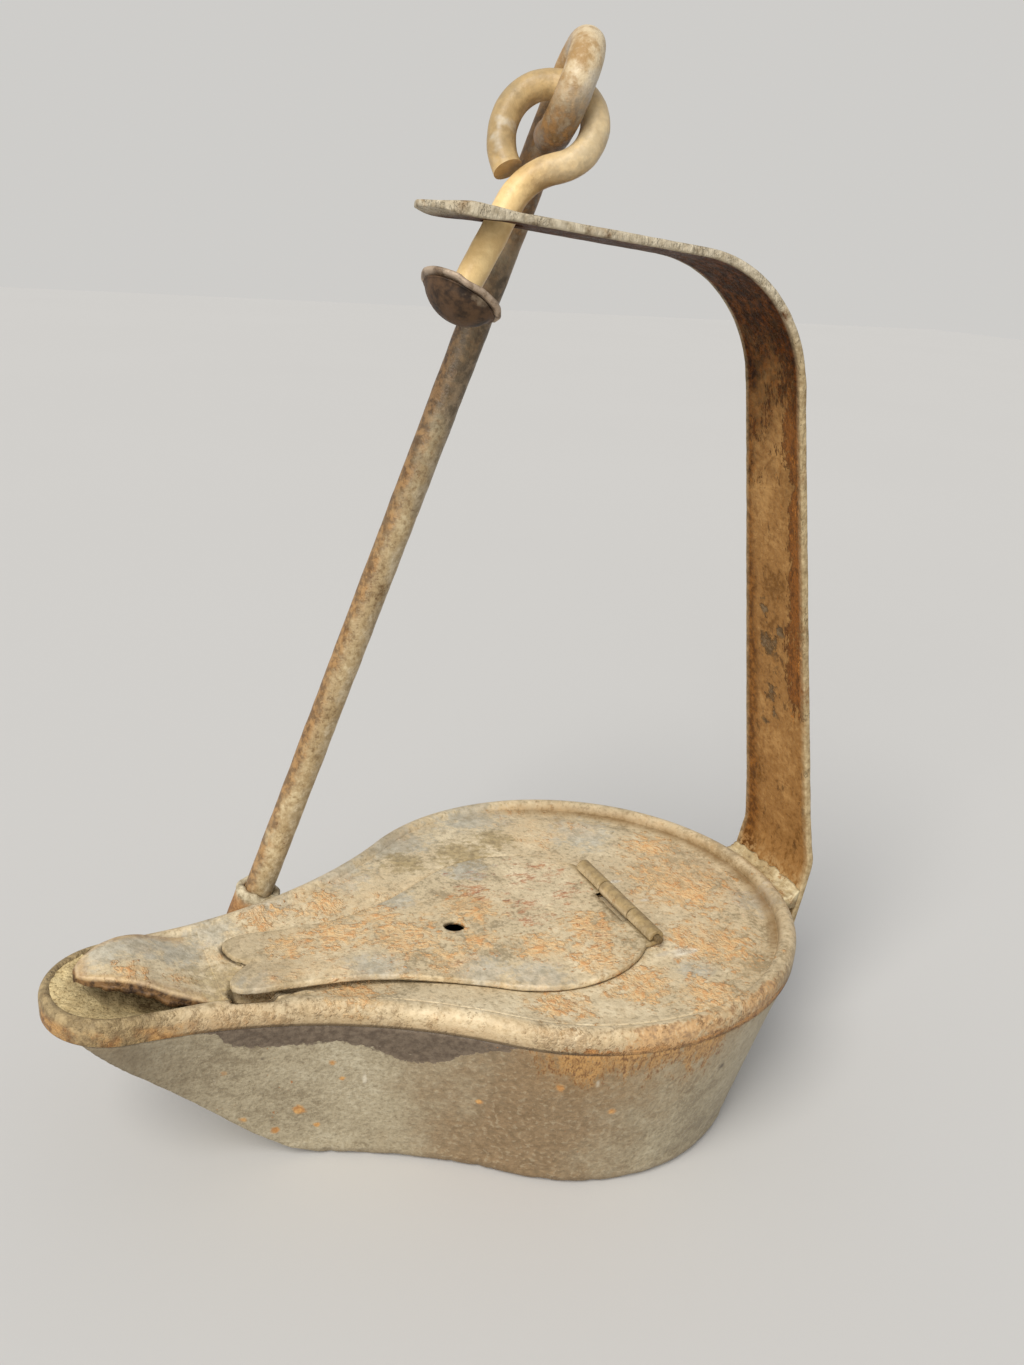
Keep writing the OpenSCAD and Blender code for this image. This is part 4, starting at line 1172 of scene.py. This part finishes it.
color = rust_over(paint["Color"], bloom, 0.7)
paint_done(shader, color, paint, (0.4, 0.65), 0.0006, 0.7)
solder.data.materials.append(coat)
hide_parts("handle_solder")
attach(solder, "lamp")

# Swivel
# One length of thick wire: a domed rivet head below, a straight shank that hangs loose through the arm's
# hole, and an eye turned at its top. Worn to a yellowish cream, with the head left dark brown. The shank is
# painted brighter as painted light, and the eye's left strand darker and right side paler as painted shade
# and light.
axis = Vector((0.517983, 0.168303, 0.838671)).normalized()
across_eye = Vector((0.714626, -0.623986, -0.316149)).normalized()
through = across_eye.cross(axis)
head_top = -12.5
eye_up, eye_r = 14.3, 6.1
shank_r, shank_top, neck_r = 2.1, 2.33, 8.698
lap_x, lap_r = 4.0, 10.1


def on_swivel(u, v, w=0.0):
    return tuple(hole + across_eye * u + axis * v + through * w)


def round_swivel(r, v, a):
    u, w = polar(r, a)
    return on_swivel(u, v, w)


def from_hole(x, y, z):
    return Vector((x, y, z)) - hole


def full_turn(n):
    return [2 * math.pi * j / n for j in range(n)]


flat_way = fill_in([(0.0, head_top + 0.1), (0.0, shank_top)], 0.8)
flat_way += arc_points(neck_r, shank_top, neck_r, math.pi, math.radians(126), 12)[1:]
flat_way += arc_points(0, eye_up, eye_r, math.radians(-54), math.pi, 48)[1:]
flat_way += arc_points(lap_x, eye_up, lap_r, math.pi, math.radians(231), 14)[1:]
coat, shader, place = finish_coat("swivel_cream_iron", 0.0, 0.35)
eye_wire = wire("swivel_wire", [on_swivel(*p) for p in flat_way], shank_r, coat, 0.28, 2.6, 4.0, 32)
head_r, head_h, dome_steps = 5.5, 3.2, 14
dome_r = (head_r ** 2 + head_h ** 2) / (2 * head_h)
turns = full_turn(48)
rings = [[round_swivel(0.02, head_top - head_h, a) for a in turns]]
for k in range(1, dome_steps + 1):
    r = head_r * math.sin(math.pi / 2 * k / dome_steps)
    v = head_top - (head_h - dome_r + math.sqrt(dome_r ** 2 - r * r))
    rings.append([])
    for a in turns:
        lump = uneven(*polar(r, a), k, 2.6, 6.0)
        shrink = 1 - 0.09 * lump * k / dome_steps
        flatter = 0.5 * lumpy(*polar(r, a), 0, 3.2, 8.0) * (1 - k / dome_steps)
        level = min(v + 0.1 + flatter, head_top - 0.2 if k < dome_steps else head_top)
        rings[-1].append(round_swivel(r * shrink, level, a))
rings.append([round_swivel(1.9, head_top, a) for a in turns])
head = sheet_metal("swivel_head", rings, bar_faces(rings))
head.data.materials.append(coat)
swivel = one_piece("swivel_eye", [eye_wire, head])
swivel.data.materials.append(coat)
for f in swivel.data.polygons:
    f.material_index = 0
mark(swivel, "head", lambda x, y, z: ease(-11.6, -12.4, from_hole(x, y, z).dot(axis)))
# The eye's left strand and right side, which carry painted shade and painted light.
mark(swivel, "left",
     lambda x, y, z: ease(2.0, -5.0, from_hole(x, y, z).dot(across_eye))
     * ease(-2.4, 0.9, (from_hole(x, y, z) - axis * eye_up).length - eye_r))
mark(swivel, "right", lambda x, y, z: ease(0.0, 5.0, from_hole(x, y, z).dot(across_eye)))
mark(swivel, "eye", lambda x, y, z: ease(3.0, 9.0, from_hole(x, y, z).dot(axis)))
paint = old_paint(place, 130.0, 0.12, (240, 212, 158), (220, 187, 130), (176, 144, 96), 41.0)
eye = marked(place, "eye")
fine = grain(place, 800, 4, 0.64, 3.0)
bloom = rust(place, 70.0, window(eye, 0.0, 1.0, 0.15, 0.68), (0.47, 0.64), 42.0, (172, 150, 112),
             (132, 112, 82))
color = rust_over(paint["Color"], bloom, 0.6)
# Painted shade and light: the eye's left strand is painted darker and its right side paler, over the wire's
# own mottling.
for side, amount, tint in (("left", 0.9, srgb(146, 126, 92)), ("right", 0.4, srgb(228, 214, 182))):
    turned_to = marked(place, side)
    color = over(times(turned_to, eye, window(fine, 0.25, 0.75, amount * 0.6, amount)), color, tint)
# Painted light: the shank below the eye is painted a brighter cream, as if strongly lit.
color = over(times(window(eye, 0.5, 0.0), window(fine, 0.3, 0.7, 0.35, 0.85)), color, srgb(250, 218, 156))
faded = window(grain(place, 190, 5, 0.62, 45.0), 0.44, 0.62, 0.0, 0.55)
color = over(times(faded, window(eye, 0.0, 1.0, 1.0, 0.35)), color, srgb(206, 168, 108))
silver = window(grain(place, 130, 4, 0.6, 47.0), 0.54, 0.64)
color = over(times(silver, eye, 0.65), color, srgb(204, 196, 178))
head_mask = marked(place, "head")
brown = two_tone(grain(place, 420, 6, 0.65, 43.0), 0.36, 0.60, (34, 22, 12), (88, 64, 42))
brown = over(window(grain(place, 240, 5, 0.65, 44.0), 0.60, 0.70), brown, srgb(124, 108, 88))
color = over(head_mask, color, brown)
coat_done(shader, color, paint["Height"],
          plus(window(paint["Height"], 0.3, 0.7, 0.32, 0.5), times(head_mask, 0.2)), 0.0005, 0.5)
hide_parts("swivel_pin")
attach(swivel, "swivel")

# Washer
# A loose punched disc between the rivet head and the strap, its thin edge crinkled and burred.
# Dark brown iron, pinkish grey on its worn edge.
washer_r, bore_r, washer_top = 6.1, 2.17, -11.31
profile = [(bore_r, -12.38), (3.4, -12.38), (4.6, -12.36), (washer_r - 0.35, -12.34), (washer_r - 0.1, -12.2),
           (washer_r, -12.02), (washer_r, -11.82), (washer_r - 0.12, -11.66), (washer_r - 0.4, -11.56),
           (4.6, -11.46), (3.4, -11.4), (bore_r + 0.3, -11.36), (bore_r, -11.5)]


def crinkled(r, v, a):
    out_by = ease(2.6, 6.0, r)
    wave = rough(*polar(5, a), 0, 2.4, 3.0)
    r -= out_by * (0.25 * uneven(*polar(6, a), 0, 1.7, 2.0) + 0.25 * max(0.0, wave))
    lift = out_by * (0.25 * (0.6 + 0.5 * wave) - 0.35 * max(0.0, -wave))
    return round_swivel(r, min(v + lift, washer_top), a)


rings = [[crinkled(r, v, a) for a in full_turn(80)] for r, v in profile]
washer = sheet_metal("swivel_washer_disc", rings, loft(rings, closed=True))
mark(washer, "edge", lambda x, y, z: ease(5.0, 5.7, from_hole(x, y, z).cross(axis).length))
coat, shader, place = finish_coat("washer_grey_iron", 0.2, 0.45)
paint = old_paint(place, 420.0, 0.6, (150, 126, 102), (104, 82, 60), (56, 42, 30), 51.0)
edge = marked(place, "edge")
color = over(times(edge, window(grain(place, 380, 5, 0.65, 5.0), 0.40, 0.56, 0.1, 0.85)), paint["Color"],
             srgb(186, 166, 144))
paint_done(shader, color, paint, (0.38, 0.62), 0.0004, 0.6)
washer.data.materials.append(coat)
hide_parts("swivel_washer")
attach(washer, "washer")

# Hanger rod
# A long iron rod, its top curled into an eye that links through the swivel's eye and its end drawn to a
# point. Mottled tan, brown and grey; brown on the side turned from the light as painted shade, pale on the
# lit side as painted light with some wear, and darker below the strap's arm as painted shade. Grey-blue
# patches on its eye are painted sheen.
eye_c = Vector((12.6013, 1.14922, 158.042))
out = Vector((0.313053, 0.949582, 0.0171048)).normalized()
rod_up = Vector((0.295672, -0.114559, 0.948396)).normalized()
aside = rod_up.cross(out)
loop_r, rod_r, point_steps = 6.0, 2.5, 14
rod_len, sleeve_end, sleeve_top = 164.641, 157.641, 133.114


def on_hanger(u, v, w):
    return tuple(eye_c + out * u + aside * v + rod_up * w)


def along_rod(x, y, z):
    return (Vector((x, y, z)) - eye_c).dot(rod_up)


way = [(p[0], 0.0, p[1]) for p in arc_points(0, 0, loop_r, math.radians(272), 0.0, 54)]
way += fill_in([(loop_r, 0, 0), (loop_r, 0, -sleeve_end)], 1.0)[1:]
taper = [1.0] * len(way)
for k in range(1, point_steps + 1):
    t = k / point_steps
    way.append((loop_r, 0, lerp(-sleeve_end, -rod_len, t)))
    taper.append(lerp(1.0, 0.17, t ** 1.15))
coat, shader, place = finish_coat("rod_mottled_iron", 0.0, 0.45)
rod = wire("hanger_rod_iron", [on_hanger(*p) for p in way], rod_r, coat, 0.3, 3.2, 7.0, 32, taper)
# The side of the rod turned towards the light, used for painted light and painted shade.
lit_side = Vector((0.894, -0.447, 0.0))
lit_side = (lit_side - rod_up * lit_side.dot(rod_up)).normalized()
rod_axis = Vector(on_hanger(loop_r, 0, 0))
mark(rod, "worn", lambda x, y, z: (Vector((x, y, z)) - rod_axis).dot(lit_side) / rod_r)
mark(rod, "eye", lambda x, y, z: ease(-9.0, -1.0, along_rod(x, y, z)))
mark(rod, "lower", lambda x, y, z: ease(2.0, -4.5, along_rod(x, y, z)) * ease(-26, -18, along_rod(x, y, z)))
paint = old_paint(place, 250.0, 0.4, (202, 184, 146), (170, 147, 108), (122, 98, 64), 61.0)
fine = grain(place, 800, 4, 0.64, 3.0)
stray = drift(place, 180, 5, 0.65, 5.0)
worn = plus(marked(place, "worn"), times(stray, 3.0))
eye = marked(place, "eye")
plain = minus(1.0, eye)
# Painted shade makes the side turned from the light brown; painted light with some wear makes the lit side
# pale.
color = over(times(window(worn, 0.1, -0.7), plain, 0.8), paint["Color"],
             two_tone(fine, 0.4, 0.6, (98, 66, 32), (164, 122, 72)))
color = over(times(window(worn, 0.3, 0.9), plain, 0.6), color,
             two_tone(fine, 0.4, 0.6, (166, 150, 120), (216, 204, 176)))
xyz = coords(place)
shade = times(window(plus(xyz["Z"], times(stray, 0.03)), 0.088, 0.126), plain)
color = over(times(shade, 0.8), color, two_tone(fine, 0.4, 0.66, (44, 30, 18), (104, 78, 50)))
cream = old_paint(place, 120.0, 0.15, (228, 216, 190), (212, 192, 156), (166, 132, 84), 63.0)
# Painted sheen: grey-blue patches on the eye.
painted_sheen = window(grain(place, 120, 4, 0.6, 66.0), 0.50, 0.62)
eyed = over(times(painted_sheen, 0.6), cream["Color"], srgb(188, 182, 170))
# Painted shade: the eye is browner on the side turned from the light.
eyed = over(window(worn, -0.1, -1.1, 0.0, 0.75), eyed,
            two_tone(fine, 0.3, 0.7, (140, 98, 50), (182, 140, 86)))
low_eye = marked(place, "lower")
eyed = over(times(low_eye, window(plus(fine, stray), 0.25, 0.55, 0.5, 0.95)), eyed,
            two_tone(fine, 0.4, 0.62, (80, 54, 26), (148, 110, 64)))
color = over(sums("MAXIMUM", eye, low_eye), color, eyed)
bloom = rust(place, 260.0, 0.3, (0.50, 0.56), 62.0, (150, 104, 54), (92, 60, 30))
color = over(times(bloom["Mask"], window(eye, 0.0, 1.0, 0.65, 0.2)), color, bloom["Color"])
coat_done(shader, color, paint["Height"], window(paint["Height"], 0.35, 0.65, 0.34, 0.6), 0.0005, 0.75)
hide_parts("hanger_rod")
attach(rod, "hanger")

# Hook sleeve
# A short tube pressed on the rod to carry the hook, with a torn and crinkled pale lip at its top.
# Reddish brown rust.
sleeve_bore, sleeve_r, lip_r = 2.55, 3.7, 4.1
profile = [(sleeve_bore, -sleeve_end), (sleeve_r - 0.15, -sleeve_end), (sleeve_r, -sleeve_end + 0.2)]
profile += [(r, -sleeve_top - down)
            for r, down in ((sleeve_r, 2.2), (3.75, 1.6), (4.0, 1.2), (lip_r, 0.6), (3.95, 0.15), (3.6, 0.0),
                            (2.9, 0.1), (sleeve_bore, 0.4))]
profile = fill_in(profile, 1.0)
rings = []
for r, w in profile:
    rings.append([])
    for a in full_turn(64):
        torn = ease(-sleeve_top - 2.0, -sleeve_top - 0.8, w)
        wear = 0.16 * uneven(*polar(r, a), w, 2.4, 2.0) + 0.55 * torn * uneven(*polar(3, a), 0, 1.5, 4.0)
        d = r - wear if r > sleeve_bore else r
        sag = 0.7 * torn * max(0.0, 0.3 + rough(*polar(3, a), 3, 1.9, 9.0))
        u, v = polar(max(d, rod_r), a)
        rings[-1].append(on_hanger(loop_r + u, v, w - sag))
sleeve = sheet_metal("hook_sleeve_tube", rings, loft(rings, closed=True))
mark(sleeve, "collar", lambda x, y, z: ease(-sleeve_top - 2.6, -sleeve_top - 1.4, along_rod(x, y, z)))
coat, shader, place = finish_coat("sleeve_red_rust")
paint = old_paint(place, 330.0, 0.6, (196, 152, 102), (160, 116, 70), (104, 68, 36), 71.0)
collar = marked(place, "collar")
cream = two_tone(grain(place, 520, 5, 0.65, 72.0), 0.36, 0.62, (134, 116, 82), (218, 204, 172))
color = over(collar, paint["Color"], cream)
paint_done(shader, color, paint, (0.45, 0.7), 0.0005, 0.7)
sleeve.data.materials.append(coat)
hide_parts("hook_sleeve")
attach(sleeve, "hanger")

# Hook
# A bent wire brazed to the sleeve, by which the lamp hangs from a nail, its end turned up and rounded.
# Reddish brown rust.
hook_z, hook_r, hook_out, hook_up = -155.241, 8.0, 13.0, 5.0
hook_wire_r, end_steps = 1.8, 8
way = fill_in([(3.2, 0, hook_z), (hook_out - hook_r, 0, hook_z)], 0.6)
way += [(p[0], 0.0, p[1])
        for p in arc_points(hook_out - hook_r, hook_z + hook_r, hook_r, -math.pi / 2, 0.0, 26)[1:]]
way += fill_in([(hook_out, 0, hook_z + hook_r), (hook_out, 0, hook_z + hook_r + hook_up)], 0.6)[1:]
taper = [1.0] * len(way)
for k in range(1, end_steps + 1):
    f = math.pi / 2 * k / end_steps
    way.append((hook_out, 0, hook_z + hook_r + hook_up + hook_wire_r * math.sin(f)))
    taper.append(max(0.05, math.cos(f)))
coat, shader, place = finish_coat("hook_red_rust")
way = [on_hanger(loop_r + p[0], p[1], p[2]) for p in way]
hook = wire("hanger_hook_wire", way, hook_wire_r, coat, 0.2, 2.6, 9.0, 24, taper)
paint = old_paint(place, 360.0, 0.6, (176, 136, 94), (140, 102, 66), (86, 58, 34), 81.0)
paint_done(shader, paint["Color"], paint, (0.5, 0.72), 0.0004, 0.6)
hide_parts("hanger_hook")
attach(hook, "hanger")

# Floor, light and camera
# A plain pale floor and a soft studio: a wide sun above and to the left, a weaker one low on that side and
# an even pale surround. The camera stands at the near left, about 20 degrees up and a little rolled.
floor = sheet_metal("floor", [[(-2500, -2500, 0), (2500, -2500, 0), (2500, 2500, 0), (-2500, 2500, 0)]],
                    [[0, 1, 2, 3]])
coat, shader, place = finish_coat("pale_floor", 0.0, 0.1)
color = over(grain(place, 3.0, 3, 0.5, 1.0), (0.60, 0.59, 0.57, 1), (0.62, 0.61, 0.59, 1))
shader.id_data.links.new(color, shader.inputs["Base Color"])
shader.inputs["Roughness"].default_value = 0.9
floor.data.materials.append(coat)

world = bpy.data.worlds.new("studio")
bpy.context.scene.world = world
world.use_nodes = True
tree = world.node_tree
path = tree.nodes.new("ShaderNodeLightPath").outputs
seen = sums("MAXIMUM", *(path["Is %s Ray" % kind] for kind in ("Glossy", "Transmission", "Camera")))
sky = over(seen, (0.42, 0.43, 0.45, 1), (0.62, 0.61, 0.59, 1))
tree.links.new(sky, tree.nodes["Background"].inputs["Color"])


def sun(name, heading, height, power, spread, tint):
    data = bpy.data.lights.new(name, "SUN")
    data.energy, data.angle, data.color = power, math.radians(spread), tint
    obj = put(name, data)
    h, e = math.radians(heading), math.radians(height)
    source = Vector((math.sin(h) * math.cos(e), -math.cos(h) * math.cos(e), math.sin(e)))
    obj.rotation_euler = source.to_track_quat("Z", "Y").to_euler()


sun("key_left", -52, 50, 2.1, 30, (1.0, 0.97, 0.92))
sun("front_fill", -48, 18, 1.2, 30, (1.0, 0.98, 0.95))

camera = put("camera", bpy.data.cameras.new("camera"))
aim, away = Vector((9.75, 0.0, 73.77)), 188.16
focal_px, tall_px, film = 1200, 1365, 36.0
turn, rise, roll_by = math.radians(-26.55), math.radians(19.88), math.radians(4.0)
back = Vector((math.sin(turn) * math.cos(rise), -math.cos(turn) * math.cos(rise), math.sin(rise)))
right = Vector((math.cos(turn), math.sin(turn), 0))
top = back.cross(right)
right, top = (right * math.cos(roll_by) + top * math.sin(roll_by),
              top * math.cos(roll_by) - right * math.sin(roll_by))
spot = (aim + back * away) * mm
camera.matrix_world = Matrix([*zip(right, top, back, spot), (0, 0, 0, 1)])
camera.data.sensor_width = film
camera.data.lens = focal_px / tall_px * film
camera.data.clip_start = 0.005
bpy.context.scene.camera = camera
bpy.context.scene.view_settings.view_transform = "Standard"
